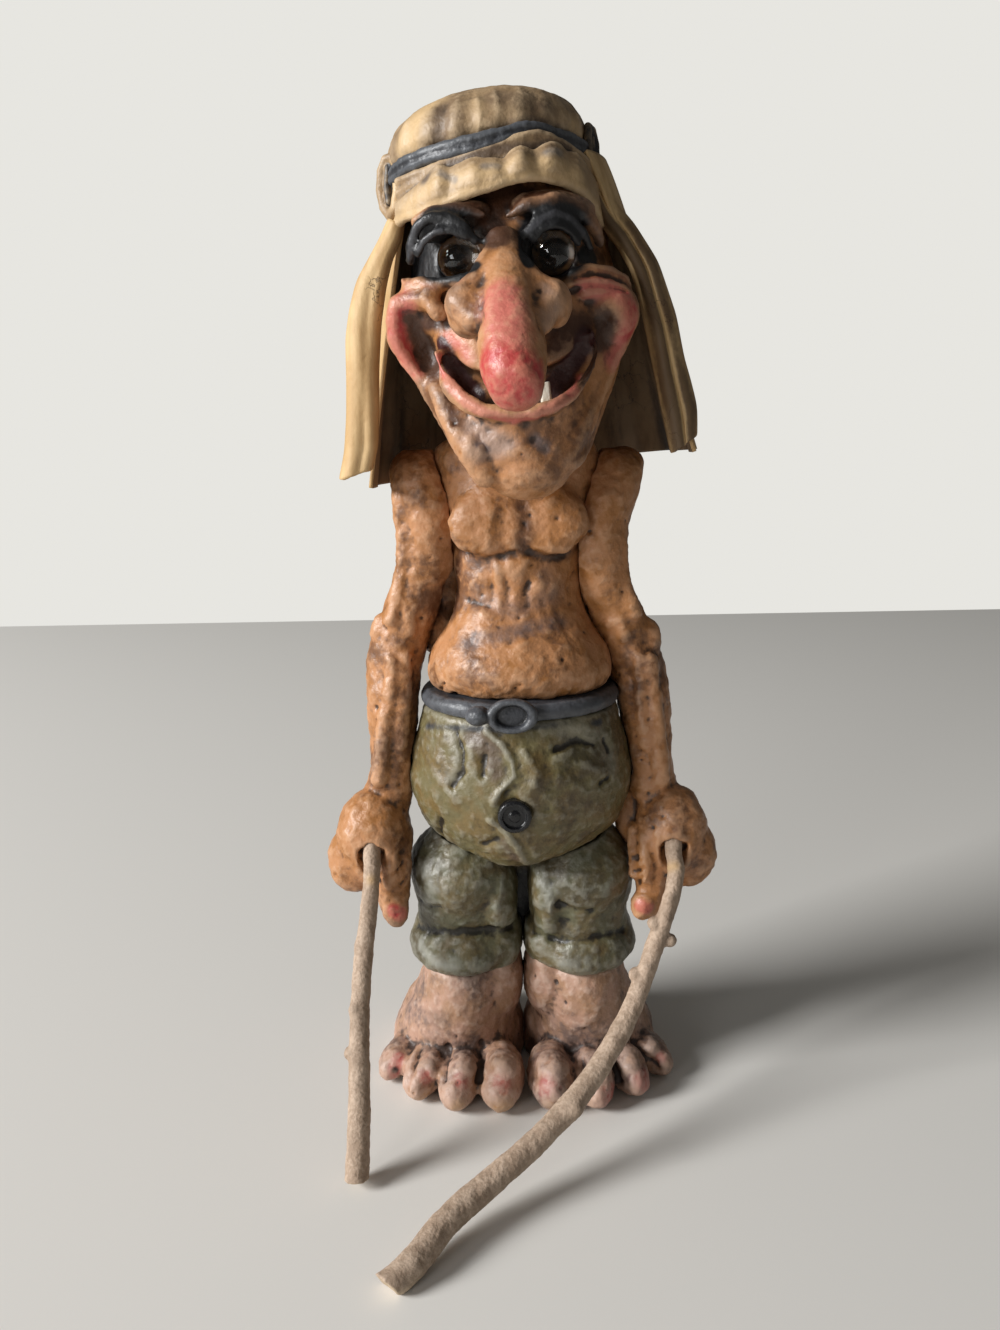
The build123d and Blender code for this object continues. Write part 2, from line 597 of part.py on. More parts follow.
# Upper body
def torso_form(grow=0.0):
    levels = [
        (0, SEAT_SETBACK, Z_BELLY, BELLY_EDGE_HALF_WIDTH, BELLY_EDGE_HALF_DEPTH),
        (0, -BELLY_FORWARD, Z_BELLY + BELLY_HEIGHT, BELLY_HALF_WIDTH, BELLY_HALF_DEPTH),
        (0, -BELLY_FORWARD, Z_BELLY + (BELLY_HEIGHT + MIDRIFF_HEIGHT) / 2,
         (2 * BELLY_HALF_WIDTH + MIDRIFF_HALF_WIDTH) / 3, (2 * BELLY_HALF_DEPTH + MIDRIFF_HALF_DEPTH) / 3),
        (0, -BELLY_FORWARD / 2, Z_BELLY + MIDRIFF_HEIGHT, MIDRIFF_HALF_WIDTH, MIDRIFF_HALF_DEPTH),
        (0, 0, Z_BELLY + WAIST_HEIGHT, WAIST_HALF_WIDTH, WAIST_HALF_DEPTH),
        (0, 0, Z_BELLY + CHEST_HEIGHT, CHEST_HALF_WIDTH, CHEST_HALF_DEPTH),
        (0, ARM_SETBACK, Z_BELLY + SHOULDER_HEIGHT, SHOULDER_HALF_WIDTH, SHOULDER_HALF_DEPTH),
        (0, ARM_SETBACK, Z_BELLY + NECK_ROOT_HEIGHT, NECK_ROOT_HALF_WIDTH, NECK_ROOT_HALF_DEPTH),
    ]
    body = stack(levels, grow)
    x = HEAD_SHIFT / 2
    neck_root = (x, -NECK_FORWARD, Z_BELLY + SHOULDER_HEIGHT, NECK_HALF_WIDTH, NECK_HALF_DEPTH)
    neck_top = (x, -NECK_FORWARD, Z_NECK, NECK_HALF_WIDTH - NECK_TAPER, NECK_HALF_DEPTH - NECK_TAPER)
    body += stack([neck_root, neck_top], grow)
    for side in (RIGHT, LEFT):
        body += egg(side * PEC_SPREAD, -CHEST_HALF_DEPTH + PEC_HALF_DEPTH / 2, Z_BELLY + PEC_HEIGHT,
                    PEC_HALF_WIDTH + grow, PEC_HALF_DEPTH + grow, PEC_HALF_HEIGHT + grow)
        body += egg(side * FLANK_OUT, FLANK_BACK, Z_BELLY + FLANK_HEIGHT, FLANK_HALF_WIDTH + grow,
                    FLANK_HALF_DEPTH + grow, FLANK_HALF_HEIGHT + grow)
    return body


def torso():
    """Belly, chest and neck stump in one casting."""
    body = torso_form() - bore(*NECK_DOWEL, NECK_DOWEL_RADIUS) - bore(*WAIST_DOWEL, WAIST_DOWEL_RADIUS)
    for side in (RIGHT, LEFT):
        body -= bore(*shoulder_dowel_ends(side), SHOULDER_DOWEL_RADIUS)
    return body


def stick_tip(side):
    x, y = RIGHT_STICK_TIP if side == RIGHT else LEFT_STICK_TIP
    return Vector(x, y, STICK_TIP_RISE)


def socket_mouth(side):
    return Vector(side * SOCKET_OUT, -SOCKET_FORWARD, Z_ARM - SOCKET_DROP)


def socket_axis():
    """The direction in which both sticks leave the fists: forwards and down."""
    run = stick_tip(RIGHT) - socket_mouth(RIGHT)
    return Vector(0, run.Y, run.Z).normalized()


def stick_top_radius(side):
    return RIGHT_STICK_TOP_RADIUS if side == RIGHT else LEFT_STICK_TOP_RADIUS


def stick_socket(side):
    """A blind hole for the stick, with a wider mouth."""
    mouth = socket_mouth(side)
    axis = socket_axis()
    radius = stick_top_radius(side) + STICK_GAP
    hole = rod(mouth - axis * (SOCKET_DEPTH + STICK_GAP), mouth + axis * HAND_HALF_DEPTH, radius)
    flare = rod(mouth - axis * SOCKET_FLARE_DEPTH, mouth + axis * HAND_HALF_DEPTH, radius + SOCKET_FLARE)
    return hole + flare


def arm(side):
    """An arm and its fist in one casting."""
    elbow = Z_ARM - (RIGHT_ELBOW_DROP if side == RIGHT else LEFT_ELBOW_DROP)
    wrist = Z_ARM - WRIST_DROP
    above_elbow = elbow + 2 * ELBOW_HALF_WIDTH
    levels = [
        (ARM_OUT, ARM_SETBACK, Z_ARM, UPPER_ARM_HALF_WIDTH / 2, UPPER_ARM_HALF_DEPTH / 2),
        (ARM_OUT, ARM_SETBACK, Z_ARM - UPPER_ARM_HALF_WIDTH / 2, UPPER_ARM_HALF_WIDTH, UPPER_ARM_HALF_DEPTH),
        (ABOVE_ELBOW_OUT, ARM_SETBACK, above_elbow, UPPER_ARM_HALF_WIDTH, UPPER_ARM_HALF_DEPTH),
        (ELBOW_OUT, ARM_SETBACK, elbow, ELBOW_HALF_WIDTH, ELBOW_HALF_DEPTH),
        (FOREARM_OUT, -WRIST_FORWARD / 2, (elbow + wrist) / 2, FOREARM_HALF_WIDTH, FOREARM_HALF_DEPTH),
        (WRIST_OUT, -WRIST_FORWARD, wrist, WRIST_HALF_WIDTH, WRIST_HALF_DEPTH),
        (HAND_OUT, -HAND_FORWARD, Z_ARM - HAND_DROP, WRIST_HALF_WIDTH, WRIST_HALF_DEPTH),
    ]
    body = stack([(side * out, y, z, width, depth) for out, y, z, width, depth in levels])
    body += egg(side * HAND_OUT, -HAND_FORWARD, Z_ARM - HAND_DROP, HAND_HALF_WIDTH, HAND_HALF_DEPTH,
                HAND_HALF_HEIGHT)
    body += egg(side * KNUCKLE_OUT, -HAND_FORWARD, Z_ARM - KNUCKLE_DROP, KNUCKLE_RADIUS, KNUCKLE_RADIUS,
                KNUCKLE_HALF_HEIGHT)
    body += egg(side * FINGER_OUT, -HAND_FORWARD, Z_ARM - FINGER_DROP, FINGER_RADIUS, FINGER_HALF_DEPTH,
                FINGER_HALF_HEIGHT)
    body += egg(side * THUMB_OUT, -THUMB_FORWARD, Z_ARM - THUMB_DROP, THUMB_HALF_WIDTH, THUMB_HALF_WIDTH,
                THUMB_HALF_LENGTH, (THUMB_TILT, 0, 0))
    body -= torso_form(CASTING_GAP)
    body -= trousers_form(CASTING_GAP)
    body -= belt_form(CASTING_GAP)
    body -= leg_form(side, CASTING_GAP)
    body -= bore(*shoulder_dowel_ends(side), SHOULDER_DOWEL_RADIUS)
    return body - stick_socket(side)


# Sticks
def twig(side, bends, tip_radius, cut):
    """A tapered twig: a straight peg in the fist, then a smooth run through its bends to the table.

    A bend is a share of the way from the fist to the tip, and how far it stands off the straight line.
    """
    mouth = socket_mouth(side)
    axis = socket_axis()
    tip = stick_tip(side)
    radius = stick_top_radius(side)
    route = [mouth, mouth + axis * SOCKET_DEPTH / 2]
    route += [mouth + (tip - mouth) * share + Vector(*offset) for share, offset in bends]
    route.append(tip)
    last = len(route) - 1
    across = Vector(1, 0, 0)
    faces = []
    for index, point in enumerate(route):
        along = axis
        if index == last:
            along = Vector(*cut)
        elif index > 1:
            along = route[index + 1] - route[index - 1]
        along = along.normalized()
        across = (across - along * across.dot(along)).normalized()
        thickness = radius + (tip_radius - radius) * max(index - 1, 0) / (last - 1)
        faces.append(Plane(origin=point, x_dir=across, z_dir=along) * Circle(thickness))
    return rod(mouth - axis * SOCKET_DEPTH, mouth, radius) + loft(faces), route


def right_stick():
    """The nearly straight twig in the right fist."""
    bends = [(0.36, (-1.4, 1.5, 0.0)), (0.62, (-0.8, -1.0, 0.5)), (0.84, (0.0, -0.5, 0.5))]
    body, route = twig(RIGHT, bends, RIGHT_STICK_TIP_RADIUS, (0, -0.35, -1))
    body += Pos(*(route[3] + Vector(-BUD_RADIUS, 0, 0))) * Sphere(BUD_RADIUS)
    return body & above(0)


def left_stick():
    """The crooked twig in the left fist, which sweeps across in front of the feet."""
    bends = [(0.14, (6.6, 2.9, -9.4)), (0.25, (10.2, 6.9, -14.1)), (0.36, (11.4, 6.6, -17.8)),
             (0.48, (11.3, 6.1, -17.7)), (0.61, (9.1, 5.7, -15.9)), (0.75, (5.8, 6.1, -11.5)),
             (0.88, (2.5, 3.7, -5.5))]
    body, route = twig(LEFT, bends, LEFT_STICK_TIP_RADIUS, (-0.55, -0.6, -0.45))
    for place, offset in ((2, (-0.9, 0, 0.9)), (2, (1.2, -0.3, -1.6)), (3, (-1.2, 0, 0.3))):
        body += Pos(*(route[place] + Vector(*offset) * BUD_RADIUS)) * Sphere(BUD_RADIUS)
    return body & above(0)


# Head
def head_form(grow=0.0):
    """The bare skull and jaw, upright."""
    def level(height, half_width, half_depth, tuck):
        return (0, half_depth - FACE_FRONT + tuck, Z_CHIN + height, half_width, half_depth)

    return stack([
        level(CHIN_HALF_HEIGHT / 4, CHIN_HALF_WIDTH / 2, CHIN_HALF_DEPTH / 2, CHIN_TUCK),
        level(JOWL_HEIGHT, JOWL_HALF_WIDTH, JOWL_HALF_WIDTH, JOWL_TUCK),
        level(JAW_HEIGHT, JAW_HALF_WIDTH, (JAW_HALF_WIDTH + SKULL_HALF_DEPTH) / 2, 0),
        level(CHEEK_LEVEL_HEIGHT, CHEEK_LEVEL_HALF_WIDTH, CHEEK_LEVEL_HALF_DEPTH, CHEEK_TUCK),
        level(TEMPLE_HEIGHT, TEMPLE_HALF_WIDTH, TEMPLE_HALF_DEPTH, TEMPLE_TUCK),
        level(SKULL_HEIGHT, SKULL_HALF_WIDTH, SKULL_HALF_DEPTH, SKULL_TUCK),
        level(FOREHEAD_HEIGHT, FOREHEAD_HALF_WIDTH, FOREHEAD_HALF_DEPTH, FOREHEAD_TUCK),
        level(HEAD_HEIGHT, FOREHEAD_HALF_WIDTH * CROWN_TAPER, FOREHEAD_HALF_DEPTH * CROWN_TAPER, CROWN_TUCK),
    ], grow)


def brow(side, grow=0.0):
    """A brow ridge that slants down towards the nose."""
    return egg(side * BROW_SPREAD, -BROW_FORWARD, Z_CHIN + BROW_HEIGHT, BROW_HALF_WIDTH + grow,
               BROW_RADIUS + grow, BROW_RADIUS + grow, (0, side * BROW_SLANT, side * BROW_TURN))


def nose():
    """A drooping shaft lofted from the root to the tip, with a wing on each side."""
    spine = [(NOSE_ROOT_FORWARD, NOSE_ROOT_HEIGHT, NOSE_ROOT_RADIUS),
             (NOSE_BRIDGE_FORWARD, NOSE_BRIDGE_HEIGHT, NOSE_BRIDGE_RADIUS),
             (NOSE_SHAFT_FORWARD, NOSE_SHAFT_HEIGHT, NOSE_SHAFT_RADIUS),
             (NOSE_TIP_FORWARD, NOSE_TIP_HEIGHT, NOSE_TIP_RADIUS)]
    drop = Vector(0, NOSE_ROOT_FORWARD - NOSE_TIP_FORWARD, NOSE_TIP_HEIGHT - NOSE_ROOT_HEIGHT)
    faces = []
    for forward, height, radius in spine:
        level = Plane(origin=(0, -forward, Z_CHIN + height), x_dir=(1, 0, 0), z_dir=drop)
        faces.append(level * Circle(radius))
    shaft = loft(faces) + Pos(0, -NOSE_TIP_FORWARD, Z_CHIN + NOSE_TIP_HEIGHT) * Sphere(NOSE_TIP_RADIUS)
    for side in (RIGHT, LEFT):
        shaft += egg(side * NOSTRIL_SPREAD, -NOSTRIL_FORWARD, Z_CHIN + NOSTRIL_HEIGHT, NOSTRIL_HALF_WIDTH,
                     NOSTRIL_HALF_DEPTH, NOSTRIL_RADIUS)
    return shaft


def lip(height, forward, radius):
    """A roll of lip that follows the lower edge of the grin from corner to corner."""
    corner_y = -MOUTH_CORNER_FORWARD
    corner_z = Z_CHIN + MOUTH_CORNER_HEIGHT
    curve = ThreePointArc((-MOUTH_HALF_WIDTH, corner_y, corner_z), (0, -forward, Z_CHIN + height),
                          (MOUTH_HALF_WIDTH, corner_y, corner_z))
    return sweep(Plane(origin=curve @ 0, z_dir=curve % 0) * Circle(radius), path=curve)


def mouth_cut():
    """The open crescent of the grin."""
    z = Z_CHIN + MOUTH_CORNER_HEIGHT
    left, right = (-MOUTH_HALF_WIDTH, z), (MOUTH_HALF_WIDTH, z)
    low = ThreePointArc(left, (0, Z_CHIN + MOUTH_LOW_HEIGHT), right)
    high = ThreePointArc(right, (0, Z_CHIN + MOUTH_HIGH_HEIGHT), left)
    back = FACE_FRONT - MOUTH_DEPTH
    face = Plane(origin=(0, -back, 0), x_dir=(1, 0, 0), z_dir=(0, -1, 0)) * make_face(low + high)
    return extrude(face, MOUTH_DEPTH + LIP_RADIUS * 3)


def tooth_form(grow=0.0):
    x, y = TOOTH_SHIFT, -FACE_FRONT + TOOTH_SETBACK
    bottom = Z_CHIN + MOUTH_LOW_HEIGHT - TOOTH_ROOT
    base = RectangleRounded(TOOTH_WIDTH + 2 * grow, TOOTH_DEPTH + 2 * grow, TOOTH_CORNER)
    tip = RectangleRounded(TOOTH_TIP_WIDTH + 2 * grow, TOOTH_TIP_DEPTH + 2 * grow, TOOTH_CORNER)
    return loft([Pos(x, y, bottom - grow) * base, Pos(x, y, bottom + TOOTH_HEIGHT + grow) * tip])


def eye_height(side):
    return Z_CHIN + (RIGHT_EYE_HEIGHT if side == RIGHT else LEFT_EYE_HEIGHT)


def eye_place(side):
    return Pos(side * EYE_SPREAD, -EYE_FORWARD, eye_height(side))


def eye_pocket(side):
    """The round seat of the eye, open to the front, and the hole for its stalk."""
    radius = EYE_RADIUS + EYE_GAP
    reach = 2 * EYE_RADIUS
    rim = Polyline((radius, 0), (radius, -reach), (0, -reach), (0, radius))
    profile = make_face(rim + RadiusArc((0, radius), (radius, 0), radius))
    pocket = revolve(profile, Axis.Y)
    pocket += rod((0, 0, 0), (0, EYE_RADIUS + STALK_LENGTH + EYE_GAP, 0), STALK_RADIUS + EYE_GAP)
    return eye_place(side) * pocket


def eye_glass(side):
    """The clear dome of an eye, flat behind."""
    size = 4 * EYE_RADIUS
    dome = Sphere(EYE_RADIUS) & Pos(0, IRIS_SETBACK - size / 2, 0) * Box(size, size, size)
    return lean(eye_place(side) * dome)


def eye_iris(side):
    """The painted disc behind the dome, with the stalk that holds the eye in the head."""
    radius = math.sqrt(EYE_RADIUS ** 2 - (IRIS_SETBACK + IRIS_THICKNESS) ** 2)
    disc = rod((0, IRIS_SETBACK, 0), (0, IRIS_SETBACK + IRIS_THICKNESS, 0), radius)
    disc += rod((0, IRIS_SETBACK + IRIS_THICKNESS / 2, 0), (0, EYE_RADIUS + STALK_LENGTH, 0), STALK_RADIUS)
    return lean(eye_place(side) * disc)


def head():
    """The face casting: skull, brows, cheeks, nose, grin and chin."""
    body = head_form()
    for side in (RIGHT, LEFT):
        cheek_height = RIGHT_CHEEK_HEIGHT if side == RIGHT else LEFT_CHEEK_HEIGHT
        body += egg(side * CHEEK_SPREAD, -CHEEK_FORWARD, Z_CHIN + cheek_height, CHEEK_HALF_WIDTH,
                    CHEEK_HALF_DEPTH, CHEEK_HALF_HEIGHT)
        body += brow(side)
        body -= egg(side * EYE_SPREAD, -LID_FORWARD, eye_height(side), LID_HALF_WIDTH, LID_DEPTH,
                    LID_HALF_HEIGHT)
    body += egg(0, -CHIN_FORWARD, Z_CHIN + CHIN_HALF_HEIGHT, CHIN_HALF_WIDTH, CHIN_HALF_DEPTH,
                CHIN_HALF_HEIGHT)
    body += lip(MOUTH_LOW_HEIGHT - LIP_RADIUS / 2, FACE_FRONT + LIP_RADIUS / 3, LIP_RADIUS)
    body -= mouth_cut()
    body += nose()
    for side in (RIGHT, LEFT):
        body -= eye_pocket(side)
    body -= tooth_form(EYE_GAP)
    body = lean(body)
    body -= torso_form(CASTING_GAP)
    return body - bore(*NECK_DOWEL, NECK_DOWEL_RADIUS)


# Cap
def cap_band_form(grow=0.0):
    """Two cords, one above the other, round the cap."""
    band = None
    for step in (-0.5, 0.5):
        cord = Torus(CAP_HALF_WIDTH, BAND_CORD_RADIUS + grow)
        cord = scale(cord, by=(1, CAP_HALF_DEPTH / CAP_HALF_WIDTH, 1))
        cord = Pos(0, CAP_SETBACK, Z_CHIN + BAND_HEIGHT + step * BAND_CORD_STEP) * cord
        band = cord if band is None else band + cord
    return band


def cap_crown():
    """The gathered crown, hollowed to sit on the skull."""
    base = Z_CHIN + BAND_HEIGHT
    rise = CAP_HEIGHT - BAND_HEIGHT
    faces = []
    for height, width, gather in CROWN_LEVELS:
        faces.append(ring(0, CAP_SETBACK, base + rise * height, CAP_HALF_WIDTH * width,
                          CAP_HALF_DEPTH * width, CROWN_GATHERS, CROWN_GATHER_DEPTH * gather))
    gathers = loft(faces) - cap_band_form(CLOTH_GAP)
    return Pos(CAP_SHIFT, 0, 0) * gathers - head_form(CLOTH_GAP)


def frill_point(angle):
    """A point on the lower edge of the frill, which arches up over the forehead. The angle is in degrees."""
    x = (CAP_HALF_WIDTH + FRILL_REACH) * math.cos(math.radians(angle))
    y = CAP_SETBACK + (CAP_HALF_DEPTH + FRILL_REACH) * math.sin(math.radians(angle))
    return Vector(x, y, Z_CHIN + BRIM_HEIGHT - FRILL_ARCH * (x / CAP_HALF_WIDTH) ** 2)


def cap_frill():
    """The ruffled front of the cap, over the forehead."""
    low = Z_CHIN + BRIM_HEIGHT - FRILL_ARCH
    top = Z_CHIN + BAND_HEIGHT - CLOTH_GAP
    skirt = loft([ring(0, CAP_SETBACK, low, CAP_HALF_WIDTH + FRILL_REACH, CAP_HALF_DEPTH + FRILL_REACH),
                  ring(0, CAP_SETBACK, top, CAP_HALF_WIDTH, CAP_HALF_DEPTH)])
    size = 6 * CAP_HALF_DEPTH
    middle, ends = frill_point(-90), [frill_point(-90 + side * 60) for side in (RIGHT, LEFT)]
    arch = ThreePointArc((ends[0].X, ends[0].Z), (middle.X, middle.Z), (ends[1].X, ends[1].Z))
    sides = Polyline((ends[0].X, ends[0].Z), (-size, ends[0].Z), (-size, -size), (size, -size),
                     (size, ends[1].Z), (ends[1].X, ends[1].Z))
    below = Plane(origin=(0, size, 0), x_dir=(1, 0, 0), z_dir=(0, -1, 0)) * make_face(arch + sides)
    skirt -= extrude(below, 2 * size)
    edge = Spline(*[frill_point(angle) for angle in (-170, -150, -120, -90, -60, -30, -10)])
    skirt += sweep(Plane(origin=edge @ 0, z_dir=edge % 0) * Circle(FRILL_ROLL), path=edge)
    for index in range(FRILL_WAVES):
        turn = FRILL_SPAN * (index / (FRILL_WAVES - 1) - 0.5)
        foot_of_wave = frill_point(-90 + turn)
        skirt += egg(foot_of_wave.X, foot_of_wave.Y, foot_of_wave.Z + FRILL_WAVE_RISE, FRILL_WAVE_HALF_WIDTH,
                     FRILL_WAVE_HALF_DEPTH, FRILL_WAVE_HALF_HEIGHT, (0, 0, turn))
    front = Pos(0, -CLOTH_FRONT - CLOTH_GAP - size / 2, low) * Box(size, size, size)
    skirt = (skirt & front) - cap_band_form(CLOTH_GAP)
    skirt = Pos(CAP_SHIFT, 0, 0) * skirt - head_form(CLOTH_GAP)
    for side in (RIGHT, LEFT):
        skirt -= brow(side, CLOTH_GAP)
    return skirt


def cap_knot(side):
    """A loop of the tie that stands out beside the band."""
    height = Z_CHIN + (RIGHT_LOOP_HEIGHT if side == RIGHT else LEFT_LOOP_HEIGHT)
    width = RIGHT_LOOP_WIDTH if side == RIGHT else LEFT_LOOP_WIDTH
    x = CAP_SHIFT + side * (CAP_HALF_WIDTH + BAND_CORD_RADIUS)
    y = CAP_SETBACK - KNOT_LOOP_FORWARD / 2
    loop = egg(x, y, height, width, KNOT_LOOP_DEPTH, KNOT_LOOP_HEIGHT)
    loop -= egg(x + side * width, y, height, KNOT_SLIT, KNOT_SLIT, KNOT_SLIT_HALF_HEIGHT)
    size = 4 * CAP_HALF_DEPTH
    outside = Pos(x + side * (CLOTH_GAP + size / 2), 0, height) * Box(size, size, size)
    return (loop & outside) - neck_cloth()


# Hanging cloth
def folded_strip(points, thickness, fold, z):
    """A thin level section through plan points, with a fold in or out between each two."""
    inner = [Vector(x, y) for x, y in points]
    outer = []
    for index, point in enumerate(inner):
        along = inner[min(index + 1, len(inner) - 1)] - inner[max(index - 1, 0)]
        outer.append(point + Vector(along.Y, -along.X).normalized() * thickness)
    edges = Curve()
    for row in (outer, inner):
        for index in range(len(row) - 1):
            run = row[index + 1] - row[index]
            bulge = fold * (1 if index % 2 else -1)
            middle = (row[index] + row[index + 1]) / 2 + Vector(-run.Y, run.X).normalized() * bulge
            edges += ThreePointArc(row[index], middle, row[index + 1])
    edges += Line(outer[0], inner[0])
    edges += Line(outer[-1], inner[-1])
    return Pos(0, 0, z) * make_face(edges)


def neck_cloth():
    """The sheet that hangs round the back and sides of the head."""
    def plan(front, side, quarter, quarter_back, side_back, back):
        half = [(front, -CLOTH_FRONT), (side, side_back), (quarter, quarter_back)]
        return half + [(0, back)] + [(-x, y) for x, y in reversed(half)]

    top_quarter = math.sqrt(0.5)
    front_share = math.sqrt(1 - ((CLOTH_FRONT + CAP_SETBACK) / CAP_HALF_DEPTH) ** 2)
    top = plan(CAP_HALF_WIDTH * front_share, CAP_HALF_WIDTH, CAP_HALF_WIDTH * top_quarter,
               CAP_SETBACK + CAP_HALF_DEPTH * top_quarter, CAP_SETBACK, CAP_SETBACK + CAP_HALF_DEPTH)
    bottom = plan(CLOTH_FRONT_SPREAD, CLOTH_SIDE_SPREAD, CLOTH_QUARTER_SPREAD, CLOTH_QUARTER_BACK, 0,
                  CLOTH_BACK)
    z_top = Z_CHIN + BAND_HEIGHT - BAND_CORD_STEP / 2 - BAND_CORD_RADIUS - CLOTH_GAP
    sheet = loft([folded_strip(bottom, CLOTH_THICKNESS, CLOTH_FOLD, Z_CHIN + CLOTH_BOTTOM),
                  folded_strip(top, CLOTH_THICKNESS, CLOTH_FOLD / 4, z_top)], ruled=True)
    size = 6 * CLOTH_SIDE_SPREAD
    return sheet & Pos(0, size / 2 - CLOTH_FRONT, z_top) * Box(size, size, size)


def lappet(side):
    """One of the two folded strips that hang in front of the ears."""
    y = -CLOTH_FRONT - CLOTH_GAP - LAPPET_FOLD
    middle = (LAPPET_TOP + LAPPET_BOTTOM) / 2
    levels = [(LAPPET_TOP, LAPPET_TOP_SPREAD, LAPPET_TOP_WIDTH), (middle, LAPPET_MID_SPREAD, LAPPET_WIDTH),
              (LAPPET_BOTTOM, LAPPET_END_SPREAD, LAPPET_WIDTH)]
    faces = []
    for height, spread, width in levels:
        points = [(spread + width * (share - 0.5), y) for share in (0.0, 1 / 3, 2 / 3, 1.0)]
        faces.append(folded_strip(points, LAPPET_THICKNESS, LAPPET_FOLD, Z_CHIN + height))
    strip = loft(faces)
    return strip if side == LEFT else mirror(strip, about=Plane.YZ)


PIECES = {
    "head": head(),
    "torso": torso(),
    "trousers": trousers(),
    "belt": belt(),
    "belt_knot": belt_knot(),
    "fly_button": fly_button(),
    "tooth": lean(tooth_form()),
    "neck_dowel": dowel(*NECK_DOWEL, NECK_DOWEL_RADIUS),
    "waist_dowel": dowel(*WAIST_DOWEL, WAIST_DOWEL_RADIUS),
    "cap_crown": lean(cap_crown()),
    "cap_band": lean(Pos(CAP_SHIFT, 0, 0) * cap_band_form()),
    "cap_frill": lean(cap_frill()),
    "neck_cloth": lean(neck_cloth()),
    "right_stick": right_stick(),
    "left_stick": left_stick(),
}
for side, name in ((RIGHT, "right"), (LEFT, "left")):
    PIECES[name + "_foot"] = foot(side)
    PIECES[name + "_leg"] = leg(side)
    PIECES[name + "_arm"] = arm(side)
    PIECES[name + "_leg_dowel"] = dowel(*leg_dowel_ends(side), LEG_DOWEL_RADIUS)
    PIECES[name + "_shoulder_dowel"] = dowel(*shoulder_dowel_ends(side), SHOULDER_DOWEL_RADIUS)
    PIECES[name + "_eye_glass"] = eye_glass(side)
    PIECES[name + "_eye_iris"] = eye_iris(side)
    PIECES[name + "_cap_knot"] = lean(cap_knot(side))
    PIECES[name + "_lappet"] = lean(lappet(side))

os.makedirs("parts", exist_ok=True)
for name, piece in PIECES.items():
    export_step(piece, "parts/" + name + ".step")
    print(name, round(piece.volume, 1))
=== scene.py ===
# %% [markdown]
# # A painted troll that leans on two twigs
# The real figure is cast in soft latex from a clay original, washed with dark paint and dry brushed. We
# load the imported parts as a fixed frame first. Every piece that we make stands where its part stands.

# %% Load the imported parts
import json
import math

import bmesh
import bpy
import numpy as np
from mathutils import Euler, Matrix, Vector
from mathutils.bvhtree import BVHTree


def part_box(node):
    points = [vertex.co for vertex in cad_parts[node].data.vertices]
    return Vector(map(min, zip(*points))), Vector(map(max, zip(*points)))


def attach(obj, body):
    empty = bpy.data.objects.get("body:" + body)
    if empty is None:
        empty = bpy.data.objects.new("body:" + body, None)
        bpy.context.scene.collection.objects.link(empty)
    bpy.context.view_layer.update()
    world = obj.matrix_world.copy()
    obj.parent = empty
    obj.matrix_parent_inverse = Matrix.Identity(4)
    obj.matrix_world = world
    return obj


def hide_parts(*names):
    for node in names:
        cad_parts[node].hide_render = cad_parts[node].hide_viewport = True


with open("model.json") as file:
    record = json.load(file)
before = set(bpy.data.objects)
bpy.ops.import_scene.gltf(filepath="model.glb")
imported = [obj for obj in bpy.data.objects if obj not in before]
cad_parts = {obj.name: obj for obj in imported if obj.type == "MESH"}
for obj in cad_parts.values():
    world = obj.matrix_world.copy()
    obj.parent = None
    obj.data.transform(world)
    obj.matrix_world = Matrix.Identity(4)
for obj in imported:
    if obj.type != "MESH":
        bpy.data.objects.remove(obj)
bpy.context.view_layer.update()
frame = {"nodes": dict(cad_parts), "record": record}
nodes = frame["nodes"]
MM = 0.001

# %% [markdown]
# ## The camera
# The photograph was taken with a wide phone lens, close to the figure and looking down a little. A focal
# length in pixels turns into a lens length once the sensor's long side is known. We keep the camera's own
# axes, because they also let us draw on the clay through the photograph.

# %% Camera
PHOTO_WIDTH = 1000
PHOTO_HEIGHT = 1330
FOCAL_PIXELS = 1000.0
SENSOR_LONG_SIDE = 36.0
LOOK_DOWN = math.radians(13.3)
CAMERA_ROLL = math.radians(1.0)
EYE_POINT = Vector((-6.0, -306.0, 207.0)) * MM

sight_line = Vector((0, math.cos(LOOK_DOWN), -math.sin(LOOK_DOWN)))
level_up = Vector((0, math.sin(LOOK_DOWN), math.cos(LOOK_DOWN)))
level_right = Vector((1, 0, 0))
image_right = level_right * math.cos(CAMERA_ROLL) - level_up * math.sin(CAMERA_ROLL)
image_up = level_right * math.sin(CAMERA_ROLL) + level_up * math.cos(CAMERA_ROLL)
camera_data = bpy.data.cameras.new("camera")
camera_data.sensor_width = SENSOR_LONG_SIDE
camera_data.lens = SENSOR_LONG_SIDE * FOCAL_PIXELS / PHOTO_HEIGHT
camera_data.clip_start = 0.01
camera = bpy.data.objects.new("camera", camera_data)
camera_axes = Matrix((image_right, image_up, -sight_line)).transposed()
camera.matrix_world = Matrix.Translation(EYE_POINT) @ camera_axes.to_4x4()
bpy.context.scene.collection.objects.link(camera)
bpy.context.scene.camera = camera
print("lens in mm", round(camera_data.lens, 2))

# %% [markdown]
# ## Nodes
# Materials and the sky are made of nodes. A helper makes a node, fills its inputs and hands back one
# output. An input is linked when it gets another node's output, and set when it gets a plain value.

# %% Node helpers
def fill(tree, node, inputs):
    """Link outputs to a node's inputs, and set plain values on them."""
    for socket, value in inputs.items():
        if isinstance(value, bpy.types.NodeSocket):
            tree.links.new(value, node.inputs[socket])
        else:
            node.inputs[socket].default_value = value


